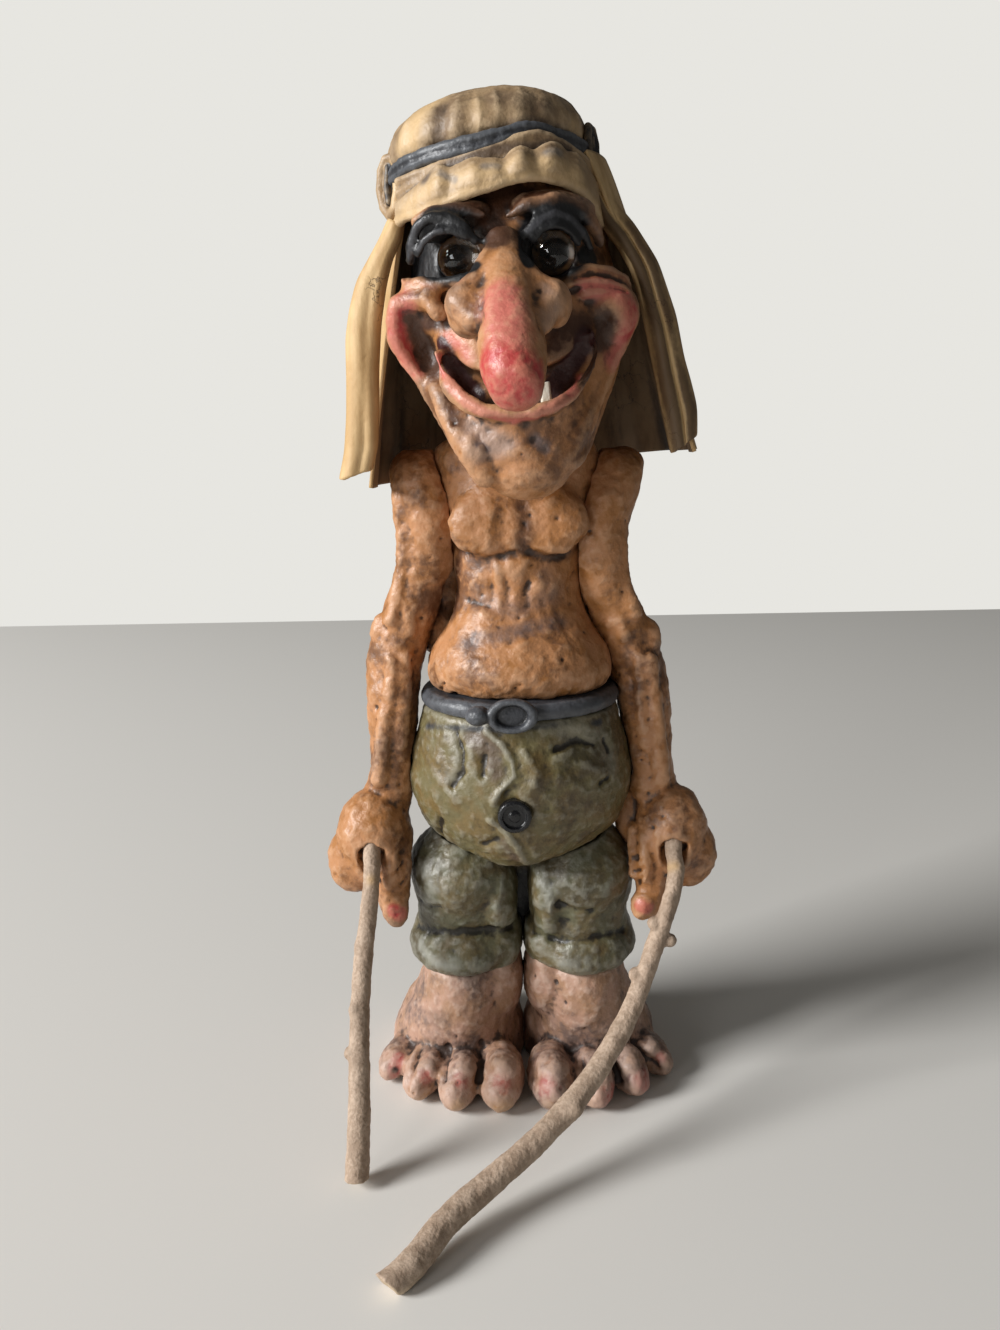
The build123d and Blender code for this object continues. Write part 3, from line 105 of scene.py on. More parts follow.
def node_of(tree, kind, output, inputs, **settings):
    """One output of a new node, after its settings are made and its inputs are filled."""
    node = tree.nodes.new("ShaderNode" + kind)
    for setting, value in settings.items():
        setattr(node, setting, value)
    fill(tree, node, inputs)
    return node.outputs[output]


def new_material(name):
    material = bpy.data.materials.new(name)
    material.use_nodes = True
    return material, material.node_tree, material.node_tree.nodes["Principled BSDF"]


def piece_from(name, clay):
    """A new object from a bmesh."""
    mesh = bpy.data.meshes.new(name)
    clay.to_mesh(mesh)
    clay.free()
    piece = bpy.data.objects.new(name, mesh)
    bpy.context.scene.collection.objects.link(piece)
    return piece


# %% [markdown]
# ## Light and floor
# A big soft lamp stands to the left, as the window does, a weaker one fills the shadows, and a small one
# beside the camera puts a glint in the glass eyes. The floor is pale and plain. The world shows pale to the
# camera and lights the figure less strongly.

# %% Light and floor
LAMPS = {
    "key_lamp": {"watts": 128.0, "size": 1.0, "place": (-2.55, -0.90, 1.35), "target": (0, 0, 0.16)},
    "fill_lamp": {"watts": 0.06, "size": 0.7, "place": (0.8, -0.6, 0.5), "target": (0, 0, 0.16)},
    "glint_lamp": {"watts": 2.2, "size": 0.3, "place": (-0.65, -0.85, 0.32), "target": (0, 0, 0.22)},
}
SKY_LIGHT = 0.125
SKY_COLOUR = (0.80, 0.79, 0.75, 1)
FLOOR_COLOUR = (0.74, 0.72, 0.68, 1)
FLOOR_ROUGHNESS = 0.7
FLOOR_HALF_SIZE = 0.8


def soft_lamp(name, watts, size, place, target):
    """A square lamp that points at a place."""
    data = bpy.data.lights.new(name, "AREA")
    data.energy = watts
    data.size = size
    lamp = bpy.data.objects.new(name, data)
    lamp.location = place
    lamp.rotation_euler = (Vector(target) - Vector(place)).to_track_quat("-Z", "Y").to_euler()
    bpy.context.scene.collection.objects.link(lamp)


for name, lamp in LAMPS.items():
    soft_lamp(name, **lamp)

world = bpy.data.worlds.new("world")
bpy.context.scene.world = world
world.use_nodes = True
sky_tree = world.node_tree
seen = node_of(sky_tree, "LightPath", "Is Camera Ray", {})
sky_strength = node_of(sky_tree, "MapRange", "Result", {"Value": seen, "To Min": SKY_LIGHT})
fill(sky_tree, sky_tree.nodes["Background"], {"Color": SKY_COLOUR, "Strength": sky_strength})

floor_bm = bmesh.new()
bmesh.ops.create_grid(floor_bm, x_segments=1, y_segments=1, size=FLOOR_HALF_SIZE)
floor = piece_from("floor", floor_bm)
floor_paint, floor_tree, floor_shader = new_material("floor_paint")
fill(floor_tree, floor_shader, {"Base Color": FLOOR_COLOUR, "Roughness": FLOOR_ROUGHNESS})
floor.data.materials.append(floor_paint)
bpy.context.scene.view_settings.view_transform = "Standard"
print("lamps", list(LAMPS))

# %% [markdown]
# ## Clay
# A casting has no sharp edges: it is a copy of soft clay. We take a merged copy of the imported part, add
# lumps of clay where the real one swells, and knead it all together with a voxel remesh and a few rounds of
# smoothing. The mesh that comes out is even and fine enough to press wrinkles into.

# %% Kneading
MERGE_DISTANCE = 0.00001
BALL_SPACING = 0.6


def merged_copy(*names):
    """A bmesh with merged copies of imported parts."""
    clay = bmesh.new()
    for name in names:
        clay.from_mesh(nodes[name].data)
    bmesh.ops.remove_doubles(clay, verts=clay.verts, dist=MERGE_DISTANCE)
    return clay


def lump(clay, centre, radii, turn=(0, 0, 0)):
    """Add an egg of clay. Sizes are in millimetres, turns in degrees."""
    place = Matrix.Translation(Vector(centre) * MM)
    place = place @ Euler([math.radians(angle) for angle in turn]).to_matrix().to_4x4()
    place = place @ Matrix.Diagonal((*(Vector(radii) * MM), 1))
    bmesh.ops.create_icosphere(clay, subdivisions=2, radius=1, matrix=place)


def roll(clay, points, *radii):
    """Add a roll of clay: balls set close together along points, with one radius or one for each point."""
    sizes = radii if len(radii) > 1 else radii * len(points)
    balls = [(Vector(points[-1]), sizes[-1])]
    for start, end, first, last in zip(points, points[1:], sizes, sizes[1:]):
        run = Vector(end) - Vector(start)
        steps = max(1, math.ceil(run.length / (BALL_SPACING * min(first, last))))
        for step in range(steps):
            balls.append((Vector(start) + run * step / steps, first + (last - first) * step / steps))
    strand = bmesh.new()
    for centre, radius in balls:
        lump(strand, centre, (radius, radius, radius))
    strand_mesh = bpy.data.meshes.new("strand")
    strand.to_mesh(strand_mesh)
    strand.free()
    clay.from_mesh(strand_mesh)
    bpy.data.meshes.remove(strand_mesh)


def bake(piece):
    """Make a piece's modifiers part of its mesh."""
    depsgraph = bpy.context.evaluated_depsgraph_get()
    made = bpy.data.meshes.new_from_object(piece.evaluated_get(depsgraph))
    rough = piece.data
    piece.modifiers.clear()
    piece.data = made
    made.name = piece.name
    bpy.data.meshes.remove(rough)


def knead(name, clay, voxel, rounds):
    """One even mesh from all the clay. The voxel is in millimetres."""
    piece = piece_from(name, clay)
    remesh = piece.modifiers.new("knead", "REMESH")
    remesh.mode = "VOXEL"
    remesh.voxel_size = voxel * MM
    remesh.use_smooth_shade = True
    soften = piece.modifiers.new("soften", "SMOOTH")
    soften.factor = 0.5
    soften.iterations = rounds
    bake(piece)
    print(name, "faces", len(piece.data.polygons))
    return piece


# %% [markdown]
# ## Drawing on the clay through the photograph
# A sculptor looks at the model and presses a tool along a line. We do the same: a line is a few pixels of
# the photograph, and the line of sight through each pixel meets the clay somewhere. The clay near that line
# is pressed in, or swells out, along its own normals. Nothing depends on the camera afterwards.

# %% Tools for pressing and swelling
PIT_DEPTH = 0.5


def sight(pixel):
    """The direction of the line of sight through a pixel of the photograph."""
    across = (pixel[0] - PHOTO_WIDTH / 2) / FOCAL_PIXELS
    down = (pixel[1] - PHOTO_HEIGHT / 2) / FOCAL_PIXELS
    return (sight_line + image_right * across - image_up * down).normalized()


def at_depth(pixel, depth):
    """Where a line of sight crosses the upright plane at a depth, all in millimetres."""
    ray = sight(pixel)
    return (EYE_POINT + ray * ((depth * MM - EYE_POINT.y) / ray.y)) / MM


def drawn(spots):
    """Points in millimetres from spots, each a pixel's two numbers and a depth."""
    return [at_depth((x, y), depth) for x, y, depth in spots]

def pixels_of(spots):
    """The pixels of spots, without their depths."""
    return [spot[:2] for spot in spots]


def touch(piece, pixels):
    """Where the lines of sight through pixels meet a piece, in millimetres."""
    tree = BVHTree.FromObject(piece, bpy.context.evaluated_depsgraph_get())
    centre = sum((Vector(corner) for corner in piece.bound_box), Vector()) / 8
    found = []
    for pixel in pixels:
        ray = sight(pixel)
        hit = tree.ray_cast(EYE_POINT, ray)[0]
        if hit is None:
            hit = tree.find_nearest(EYE_POINT + ray * (centre - EYE_POINT).length)[0]
        found.append(np.array(hit) / MM)
    return found


def points_of(piece):
    """The vertices and normals of a piece as arrays, in millimetres."""
    count = len(piece.data.vertices)
    places = np.empty(count * 3)
    normals = np.empty(count * 3)
    piece.data.vertices.foreach_get("co", places)
    piece.data.vertex_normals.foreach_get("vector", normals)
    return places.reshape(-1, 3) / MM, normals.reshape(-1, 3)


def move_points(piece, places):
    piece.data.vertices.foreach_set("co", (places * MM).ravel())
    piece.data.update()


def closeness(places, line, width):
    """1 on a line of points and falling to 0 away from it, over about a width."""
    nearest = np.full(len(places), np.inf)
    ends = line[1:] if len(line) > 1 else line
    for start, end in zip(line, ends):
        run = end - start
        share = np.clip((places - start) @ run / max(run @ run, 1e-9), 0, 1)
        gap = places - start - share[:, None] * run
        nearest = np.minimum(nearest, (gap * gap).sum(1))
    return np.exp(-nearest / width ** 2)


def on_clay(piece, line):
    """A line's points: where its pixels meet the clay, or at their own depths when it has them."""
    if len(line[0]) == 3:
        return [np.array(point) for point in drawn(line)]
    return touch(piece, line)


def press(piece, *lines, depth, width):
    """Press grooves along lines of pixels. A depth below zero raises ridges. Sizes are in millimetres."""
    places, normals = points_of(piece)
    push = np.zeros(len(places))
    for line in lines:
        push = np.maximum(push, closeness(places, touch(piece, line), width))
    move_points(piece, places - normals * (push * depth)[:, None])


def swell(piece, *dabs):
    """Swell the clay around pixels, each with a radius and a height in millimetres."""
    places, normals = points_of(piece)
    push = np.zeros(len(places))
    for pixel, radius, height in dabs:
        push += height * closeness(places, touch(piece, [pixel]), radius)
    move_points(piece, places + normals * push[:, None])


def grab(piece, *pulls):
    """Pull the clay around pixels, each with a radius and a move in millimetres."""
    places, _ = points_of(piece)
    moved = places.copy()
    for pixel, radius, move in pulls:
        moved += closeness(places, touch(piece, [pixel]), radius)[:, None] * np.array(move)
    move_points(piece, moved)


def set_on_table(piece):
    """Nothing goes through the table."""
    places, _ = points_of(piece)
    places[:, 2] = np.maximum(places[:, 2], 0)
    move_points(piece, places)


def pit(piece, count, seed, width):
    """Scatter small pits, as trapped air leaves in a casting."""
    places, normals = points_of(piece)
    chosen = np.random.RandomState(seed).choice(len(places), count, replace=False)
    push = np.zeros(len(places))
    for index in chosen:
        gap = places - places[index]
        push = np.maximum(push, np.exp(-(gap * gap).sum(1) / width ** 2))
    move_points(piece, places - normals * (push * PIT_DEPTH)[:, None])


def rough_up(piece, size, height):
    """Give the clay an uneven hand-worked surface with cloud-shaped lumps."""
    clouds = bpy.data.textures.new(piece.name + "_clouds", "CLOUDS")
    clouds.noise_scale = size * MM
    clouds.noise_depth = 3
    displace = piece.modifiers.new("rough", "DISPLACE")
    displace.texture = clouds
    displace.texture_coords = "LOCAL"
    displace.strength = 2 * height * MM
    displace.mid_level = 0.5
    bake(piece)


# %% [markdown]
# ## Paint layers
# The real figure was painted by hand. Dark wash runs into its creases and a dry brush catches its ridges,
# so we measure how hollow each point is: a smoothed copy of the clay lies outside it in a hollow and inside
# it on a ridge. A broadly smoothed copy is added as well, so broad hollows also get painted shade and broad
# bulges a painted highlight. Red, black and pale dabs are brushed on at chosen places. Each layer is a
# number on the mesh that a material reads.

# %% Paint layers
HOLLOW_NEUTRAL = 0.5
FINE_ROUNDS, BROAD_SHADE_ROUNDS = 8, 40
SOFT_EDGE_GAIN = 1.6


def smoothed(piece, places, rounds):
    """A piece's points after rounds of averaging with their neighbours."""
    edges = np.empty(len(piece.data.edges) * 2, np.int32)
    piece.data.edges.foreach_get("vertices", edges)
    edges = edges.reshape(-1, 2)
    count = len(places)
    degree = np.bincount(edges.ravel(), minlength=count)[:, None]
    for _ in range(rounds):
        total = np.empty_like(places)
        for axis in range(3):
            first = np.bincount(edges[:, 0], places[edges[:, 1], axis], count)
            total[:, axis] = first + np.bincount(edges[:, 1], places[edges[:, 0], axis], count)
        places = 0.5 * places + 0.5 * total / degree
    return places


def paint_layer(piece, name, values):
    layer = piece.data.attributes.get(name) or piece.data.attributes.new(name, "FLOAT", "POINT")
    layer.data.foreach_set("value", np.clip(values, 0, 1).astype(np.float32))


def wash_and_shade_hollows(piece, fine_gain=1.0, broad_shade_gain=0.45):
    """Store how hollow each point is, from 0 on a ridge to 1 in a crease."""
    places, normals = points_of(piece)
    fine = smoothed(piece, places, FINE_ROUNDS)
    broad = smoothed(piece, fine, BROAD_SHADE_ROUNDS)
    # The broad part makes broad hollows darker as painted shade and broad bulges paler as painted highlight.
    depth = fine_gain * ((fine - places) * normals).sum(1) + broad_shade_gain * ((broad - places) * normals).sum(1)
    paint_layer(piece, "hollow", HOLLOW_NEUTRAL + depth)


def soften(piece, *spots, rounds):
    """Smooth the clay around pixels, each with a radius in millimetres."""
    places, _ = points_of(piece)
    share = np.zeros(len(places))
    for pixel, radius in spots:
        share = np.maximum(share, closeness(places, touch(piece, [pixel]), radius))
    share = np.clip(SOFT_EDGE_GAIN * share, 0, 1)[:, None]
    move_points(piece, places * (1 - share) + smoothed(piece, places, rounds) * share)


def dab(piece, layer, *dabs):
    """Brush paint round lines of pixels, each with a width in millimetres and a strength."""
    places, _ = points_of(piece)
    amount = np.zeros(len(places))
    old = piece.data.attributes.get(layer)
    if old is not None:
        old.data.foreach_get("value", amount)
    for line, width, strength in dabs:
        amount = np.maximum(amount, strength * closeness(places, on_clay(piece, line), width))
    paint_layer(piece, layer, amount)


# %% [markdown]
# ## Materials
# One recipe paints every casting: two base colours mottled together, a dark wash in the hollows that is
# painted shade in the broad hollows, a pale dry brush on the ridges that is a painted highlight on the broad
# bulges, and the brushed layers on top. Noise makes the bump. Only the colours and amounts differ.

# %% Material helpers
MIX_A, MIX_B, MIX_RESULT = 6, 7, 2
NOISE_MIDDLE = 0.5


def noise_of(tree, waves, detail, stretch=(1, 1, 1)):
    """Noise over the piece's own space, in waves a metre."""
    place = node_of(tree, "TexCoord", "Object", {})
    place = node_of(tree, "Mapping", "Vector", {"Vector": place, "Scale": stretch})
    return node_of(tree, "TexNoise", "Fac", {"Vector": place, "Scale": waves, "Detail": detail})


def layer_of(tree, name):
    return node_of(tree, "Attribute", "Fac", {}, attribute_name=name)


def between(tree, value, low, high):
    """A smooth step from 0 at low to 1 at high. Low may be the larger."""
    ends = {"Value": value, "From Min": low, "From Max": high}
    return node_of(tree, "MapRange", "Result", ends, interpolation_type="SMOOTHSTEP")


def spread(tree, value, low, high):
    """A value from 0 to 1 spread evenly from low to high."""
    return node_of(tree, "MapRange", "Result", {"Value": value, "To Min": low, "To Max": high})


def combine(tree, operation, first, second):
    return node_of(tree, "Math", 0, {0: first, 1: second}, operation=operation)


def coat_of(tree, amount, under, over):
    """One colour over another by an amount."""
    coats = [coat if isinstance(coat, bpy.types.NodeSocket) else (*coat, 1) for coat in (under, over)]
    return node_of(tree, "Mix", MIX_RESULT, {0: amount, MIX_A: coats[0], MIX_B: coats[1]}, data_type="RGBA")


def thin_coat(tree, amount, strength, under, over):
    """A coat that covers only in part where it is thickest."""
    return coat_of(tree, combine(tree, "MULTIPLY", amount, strength), under, over)


def bump_of(tree, height, strength, distance):
    """A bumpy normal from a height, over a distance in millimetres."""
    inputs = {"Height": height, "Strength": strength, "Distance": distance * MM}
    return node_of(tree, "Bump", "Normal", inputs)


def varied(tree, value, *noises):
    """A value made uneven by noises, each a noise and how strongly it counts."""
    for noise, weight in noises:
        swing = combine(tree, "SUBTRACT", noise, NOISE_MIDDLE)
        value = combine(tree, "ADD", value, combine(tree, "MULTIPLY", swing, weight))
    return value


def painted_latex(name, base, mottle, stain, wash_and_shade, dry_brush_and_highlight, layers,
                  stain_amount, dry_brush_and_highlight_amount, roughness, cover=()):
    """Hand-painted latex. Layers are (attribute, colour) in the order of brushing, and cover comes last."""
    material, tree, shader = new_material(name)
    clouds = noise_of(tree, 48, 6)
    blotches = noise_of(tree, 150, 5)
    grain = noise_of(tree, 560, 5)
    hollow = varied(tree, layer_of(tree, "hollow"), (grain, 0.28), (blotches, 0.12))
    colour = coat_of(tree, between(tree, blotches, 0.36, 0.66), base, mottle)
    stained = between(tree, varied(tree, clouds, (grain, 0.3), (blotches, 0.45)), 0.475, 0.67)
    colour = thin_coat(tree, stained, stain_amount, colour, stain)
    for attribute, tint in layers:
        amount = varied(tree, layer_of(tree, attribute), (blotches, 0.35), (grain, 0.3))
        colour = coat_of(tree, between(tree, amount, 0.2, 0.85), colour, tint)
    # A dark wash in the creases, and painted shade in the broad hollows.
    colour = thin_coat(tree, between(tree, hollow, 0.545, 0.93), 0.92, colour, wash_and_shade)
    # A pale dry brush on the ridges, and a painted highlight on the broad bulges.
    colour = thin_coat(tree, between(tree, hollow, 0.44, 0.16), dry_brush_and_highlight_amount, colour, dry_brush_and_highlight)
    for attribute, tint in cover:
        amount = varied(tree, layer_of(tree, attribute), (blotches, 0.3), (grain, 0.25))
        colour = coat_of(tree, between(tree, amount, 0.25, 0.75), colour, tint)
    gloss = spread(tree, grain, roughness - 0.14, roughness + 0.18)
    height = varied(tree, grain, (blotches, 1.6), (noise_of(tree, 1300, 3), 0.5))
    fill(tree, shader, {"Base Color": colour, "Roughness": gloss, "Normal": bump_of(tree, height, 0.4, 0.55)})
    return material


# %% Casting paints
WASH_AND_SHADE_BROWN = (0.030, 0.014, 0.008)
SKIN_CARAMEL = (0.44, 0.205, 0.088)
SKIN_OCHRE = (0.35, 0.148, 0.045)
SKIN_STAIN = (0.120, 0.054, 0.028)
SKIN_DRY_BRUSH_AND_HIGHLIGHT = (0.62, 0.38, 0.23)
SOCKET_BLACK = (0.009, 0.009, 0.010)
LID_HIGHLIGHT_GREY = (0.045, 0.045, 0.050)

skin_paint = painted_latex(
    "skin_paint", SKIN_CARAMEL, SKIN_OCHRE, SKIN_STAIN, WASH_AND_SHADE_BROWN, SKIN_DRY_BRUSH_AND_HIGHLIGHT,
    [("pale", (0.36, 0.235, 0.175)), ("pink", (0.51, 0.140, 0.105)), ("red", (0.44, 0.050, 0.046)),
     ("brown", (0.075, 0.028, 0.012)), ("grey", (0.125, 0.085, 0.075))],
    stain_amount=0.8, dry_brush_and_highlight_amount=0.32, roughness=0.42,
    # The lid coat is a painted highlight on the black lids, and the shade coat is painted shade.
    cover=[("shade", (0.072, 0.031, 0.016)), ("mouth", (0.040, 0.008, 0.007)), ("black", SOCKET_BLACK),
           ("lid", LID_HIGHLIGHT_GREY)])
trouser_paint = painted_latex(
    "trouser_paint", (0.135, 0.112, 0.048), (0.150, 0.100, 0.034), (0.050, 0.040, 0.019),
    (0.012, 0.009, 0.006), (0.36, 0.34, 0.27),
    [("pale", (0.235, 0.220, 0.165)), ("brown", (0.110, 0.075, 0.048)), ("black", (0.03, 0.032, 0.036))],
    stain_amount=0.7, dry_brush_and_highlight_amount=0.32, roughness=0.42)
leg_paint = painted_latex(
    "leg_paint", (0.105, 0.100, 0.055), (0.130, 0.095, 0.040), (0.050, 0.044, 0.026), (0.010, 0.009, 0.007),
    (0.38, 0.38, 0.33), [("pale", (0.30, 0.30, 0.26)), ("brown", (0.105, 0.058, 0.022))],
    stain_amount=0.7, dry_brush_and_highlight_amount=0.28, roughness=0.42)
foot_paint = painted_latex(
    "foot_paint", (0.40, 0.235, 0.165), (0.33, 0.185, 0.105), (0.125, 0.085, 0.078), (0.030, 0.018, 0.015),
    (0.56, 0.41, 0.33),
    [("grey", (0.135, 0.095, 0.082)), ("pink", (0.42, 0.165, 0.135)), ("red", (0.38, 0.085, 0.068)),
     ("ochre", (0.42, 0.215, 0.075)), ("black", (0.020, 0.013, 0.012))],
    stain_amount=0.75, dry_brush_and_highlight_amount=0.4, roughness=0.5)
belt_paint = painted_latex(
    "belt_paint", (0.032, 0.034, 0.040), (0.050, 0.052, 0.060), (0.016, 0.017, 0.019), (0.006, 0.006, 0.007),
    (0.15, 0.16, 0.175), [("pale", (0.20, 0.21, 0.235))], stain_amount=0.6, dry_brush_and_highlight_amount=0.4, roughness=0.42)
cap_paint = painted_latex(
    "cap_paint", (0.36, 0.245, 0.135), (0.29, 0.185, 0.095), (0.125, 0.082, 0.050), (0.022, 0.015, 0.010),
    (0.58, 0.43, 0.27),
    [("ochre", (0.54, 0.37, 0.19)), ("brown", (0.115, 0.075, 0.046)), ("grey", (0.23, 0.19, 0.155)),
     ("black", (0.018, 0.018, 0.021))],
    stain_amount=0.55, dry_brush_and_highlight_amount=0.45, roughness=0.5)
print("casting paints", len(bpy.data.materials))

# %% [markdown]
# ## Finishing a piece
# Every casting is dressed in the same way: rough noise, a few pits, a measure of hollows for the wash and
# the painted shade, and strokes of paint by layer.
# A finished piece rides on the body of the part that it stands for and replaces that part.

# %% Finishing
SIDES = ("right", "left")
OUTWARDS = {"right": -1, "left": 1}
body_of = {name: body for body, names in frame["record"]["behaviour"]["bodies"].items() for name in names}


def give_material(piece, material):
    piece.data.materials.clear()
    piece.data.materials.append(material)


def finish_piece(piece, part, material):
    give_material(piece, material)
    piece.data.shade_smooth()
    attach(piece, body_of[part])
    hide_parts(part)


def dress(piece, part, material, rough, pits=None, wash_and_shade=(), strokes=None):
    """Dress a casting. Rough rows are a size and a height, and pits are a count, a seed and a width."""
    for size, height in rough:
        rough_up(piece, size, height)
    if pits:
        pit(piece, *pits)
    set_on_table(piece)
    wash_and_shade_hollows(piece, *wash_and_shade)
    for layer, dabs in (strokes or {}).items():
        dab(piece, layer, *dabs)
    finish_piece(piece, part, material)


# %% [markdown]
# ## Head
# The face is the best of the figure: a long drooping nose, fat cheeks pushed up by a grin, and deep black
# sockets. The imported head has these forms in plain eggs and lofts. We lay rolls of clay on it for the
# brows, lids, bags, cheeks and lip, each drawn as spots with a depth, and kneading melts them together.

# %% Head clay
FACE_VOXEL = 0.66
RIGHT_BROW = [(484, 215, -42), (455, 208, -40.5), (430, 212, -38.5), (416, 222, -35.5)]
LEFT_BROW = [
    (507, 216, -41.5), (529, 205, -42.5), (556, 200, -41.5), (580, 210, -38.5), (594, 226, -35),
    (600, 243, -31.5)]
RIGHT_OUTER_LID = [
    (410, 262, -35.5), (411, 244, -38.5), (416, 228, -40.5), (428, 218, -41.5), (446, 217, -42.5),
    (464, 226, -43), (476, 241, -43)]
RIGHT_INNER_LID = [
    (418, 255, -39.5), (424, 241, -41.5), (436, 232, -43), (451, 230, -43.5), (466, 237, -43.5)]
LEFT_OUTER_LID = [
    (526, 234, -43.5), (536, 220, -43.5), (554, 212, -43), (571, 219, -41.5), (584, 234, -39),
    (590, 248, -36.5)]
LEFT_INNER_LID = [(533, 241, -43.5), (543, 229, -44), (557, 225, -44), (571, 232, -42.5), (578, 244, -40.5)]
RIGHT_EYE_BAG = [(402, 280, -34), (418, 283, -37), (440, 285, -40), (460, 282, -42), (472, 276, -43)]
RIGHT_POUCHES = [(412, 300, -36.5), (428, 299, -39.5), (437, 312, -40.5)]
LEFT_EYE_FOLDS = [
    [(572, 272, -40), (590, 267, -37.5), (610, 271, -34.5), (626, 279, -31.5)],
    [(570, 284, -40.5), (588, 279, -38.5), (608, 280, -35.5), (627, 285, -32)]]
RIGHT_CHEEK = [
    (402, 304, -34.5), (399, 320, -33), (400, 338, -32), (408, 356, -32), (420, 374, -32.5),
    (434, 398, -33.5), (448, 424, -34), (462, 452, -35.5)]
RIGHT_JAW_FILL = [(436, 384, -36), (447, 408, -38.5), (459, 430, -40.5), (472, 452, -42), (486, 474, -41)]
LEFT_JAW_FILL = [(592, 396, -36), (582, 418, -38.5), (571, 440, -40.5), (560, 460, -41.5)]
LEFT_CHEEK = [
    (586, 290, -39.5), (604, 289, -37), (618, 295, -34), (623, 308, -32.5), (623, 323, -32),
    (619, 339, -32), (612, 357, -33), (603, 380, -34), (594, 403, -35), (585, 427, -36), (574, 455, -37.5)]
LOWER_LIP = [
    (440, 358, -42), (444, 371, -43), (452, 385, -45), (466, 402, -47.5), (486, 415, -49.5),
    (512, 420, -50), (534, 417, -50.5), (556, 406, -50), (571, 393, -48.8), (579, 380, -47)]
NOSE_WINGS = [
    [(491, 254, -48), (479, 282, -51), (463, 304, -52.5), (478, 318, -55)],
    [(513, 254, -48), (530, 280, -51), (550, 301, -53), (536, 320, -56)]]
NOSE_TIP_LIFT = ((508, 402), 9.0, (0, 2.5, 4.2))
LIP_LIFT = ((512, 426), 11.0, (0, 0, 1.6))

head_clay = merged_copy("head")
roll(head_clay, drawn(RIGHT_BROW), 1.0, 1.7, 1.7, 1.6)
roll(head_clay, drawn(LEFT_BROW), 1.0, 1.8, 2.2, 2.2, 2.0, 1.6)
lids = ((RIGHT_OUTER_LID, 1.5), (RIGHT_INNER_LID, 1.2), (LEFT_OUTER_LID, 1.4), (LEFT_INNER_LID, 1.1))
for lid, radius in lids:
    roll(head_clay, drawn(lid), radius)
roll(head_clay, drawn(RIGHT_EYE_BAG), 1.6, 2.0, 2.2, 2.0, 1.4)
for pouch in drawn(RIGHT_POUCHES):
    lump(head_clay, pouch, (3.4, 3.0, 3.0))
for fold in LEFT_EYE_FOLDS:
    roll(head_clay, drawn(fold), 1.4)
roll(head_clay, drawn(RIGHT_CHEEK), 3.6, 4.0, 3.8, 3.3, 2.8, 2.6, 2.4, 2.0)
roll(head_clay, drawn(LEFT_CHEEK), 2.2, 2.6, 3.2, 3.6, 3.5, 3.1, 2.8, 2.6, 2.6, 2.6, 2.5)
roll(head_clay, drawn(LOWER_LIP), 0.9, 1.3, 1.7, 1.9, 1.9, 1.9, 1.9, 1.8, 1.4, 0.9)
roll(head_clay, drawn(RIGHT_JAW_FILL), 2.6, 3.4, 4.0, 4.2, 4.0)
roll(head_clay, drawn(LEFT_JAW_FILL), 2.6, 3.2, 3.6, 3.8)
for wing in NOSE_WINGS:
    roll(head_clay, drawn(wing), 2.6, 3.6, 4.9, 4.4)
head = knead("head_casting", head_clay, voxel=FACE_VOXEL, rounds=14)
grab(head, NOSE_TIP_LIFT, LIP_LIFT)

# %% Face folds
RIGHT_SMILE_HOLLOW = [(415, 327), (420, 340), (427, 356), (434, 370)]
LEFT_SMILE_HOLLOW = [(605, 322), (602, 338), (595, 358), (588, 376)]
RIGHT_MOUTH_EDGE = [(446, 350), (457, 368), (472, 387)]
UNDER_LIP_CREASE = [(458, 415), (474, 426), (490, 431), (512, 433), (540, 429), (564, 413)]
NOSE_CREASES = [[(479, 300), (481, 318), (475, 334)], [(538, 286), (534, 304), (541, 326)]]
EYE_CREASES = [
    [(399, 291), (420, 292), (445, 291), (470, 282)], [(402, 313), (414, 309), (421, 317)],
    [(574, 278), (592, 273), (611, 276), (627, 282)], [(571, 290), (590, 285), (609, 286), (626, 290)]]
CHIN_WARTS = [
    ((478, 432), 1.8, 0.7), ((488, 442), 2.0, 0.7), ((470, 440), 1.6, 0.6), ((497, 436), 1.7, 0.5),
    ((482, 452), 1.8, 0.5), ((533, 441), 1.6, -0.7), ((545, 450), 2.0, -0.5)]
MOUTH_SIDES = [((438, 350), 4.5), ((444, 362), 3.5), ((588, 338), 4.5), ((582, 362), 4.0), ((574, 388), 3.0)]
EYE_POUCHES = [((402, 281), 3.5), ((412, 300), 4.0), ((428, 303), 5.0), ((470, 255), 4.0), ((476, 300), 3.0),
               ((540, 285), 3.5)]
CHEEK_INSIDE = [((411, 326), 3.0), ((416, 343), 3.0), ((424, 360), 3.0), ((433, 377), 3.0)]
UNDER_LIP_RADIUS = 3.2
press(head, RIGHT_SMILE_HOLLOW, LEFT_SMILE_HOLLOW, depth=2.4, width=3.2)
press(head, RIGHT_MOUTH_EDGE, depth=1.8, width=2.2)
press(head, *NOSE_CREASES, depth=0.8, width=1.7)
press(head, *EYE_CREASES, depth=0.7, width=1.0)
soften(head, *MOUTH_SIDES, rounds=60)
soften(head, *EYE_POUCHES, rounds=40)
soften(head, *CHEEK_INSIDE, rounds=40)
soften(head, *[(spot, UNDER_LIP_RADIUS) for spot in UNDER_LIP_CREASE], rounds=80)
swell(head, *CHIN_WARTS)

# %% [markdown]
# ## Face paint
# A stroke is a line of pixels with a width in millimetres and a strength. The sockets, the lids and the
# corners of the mouth are covered last. The nose tip, the cheeks and the lip are reddened.

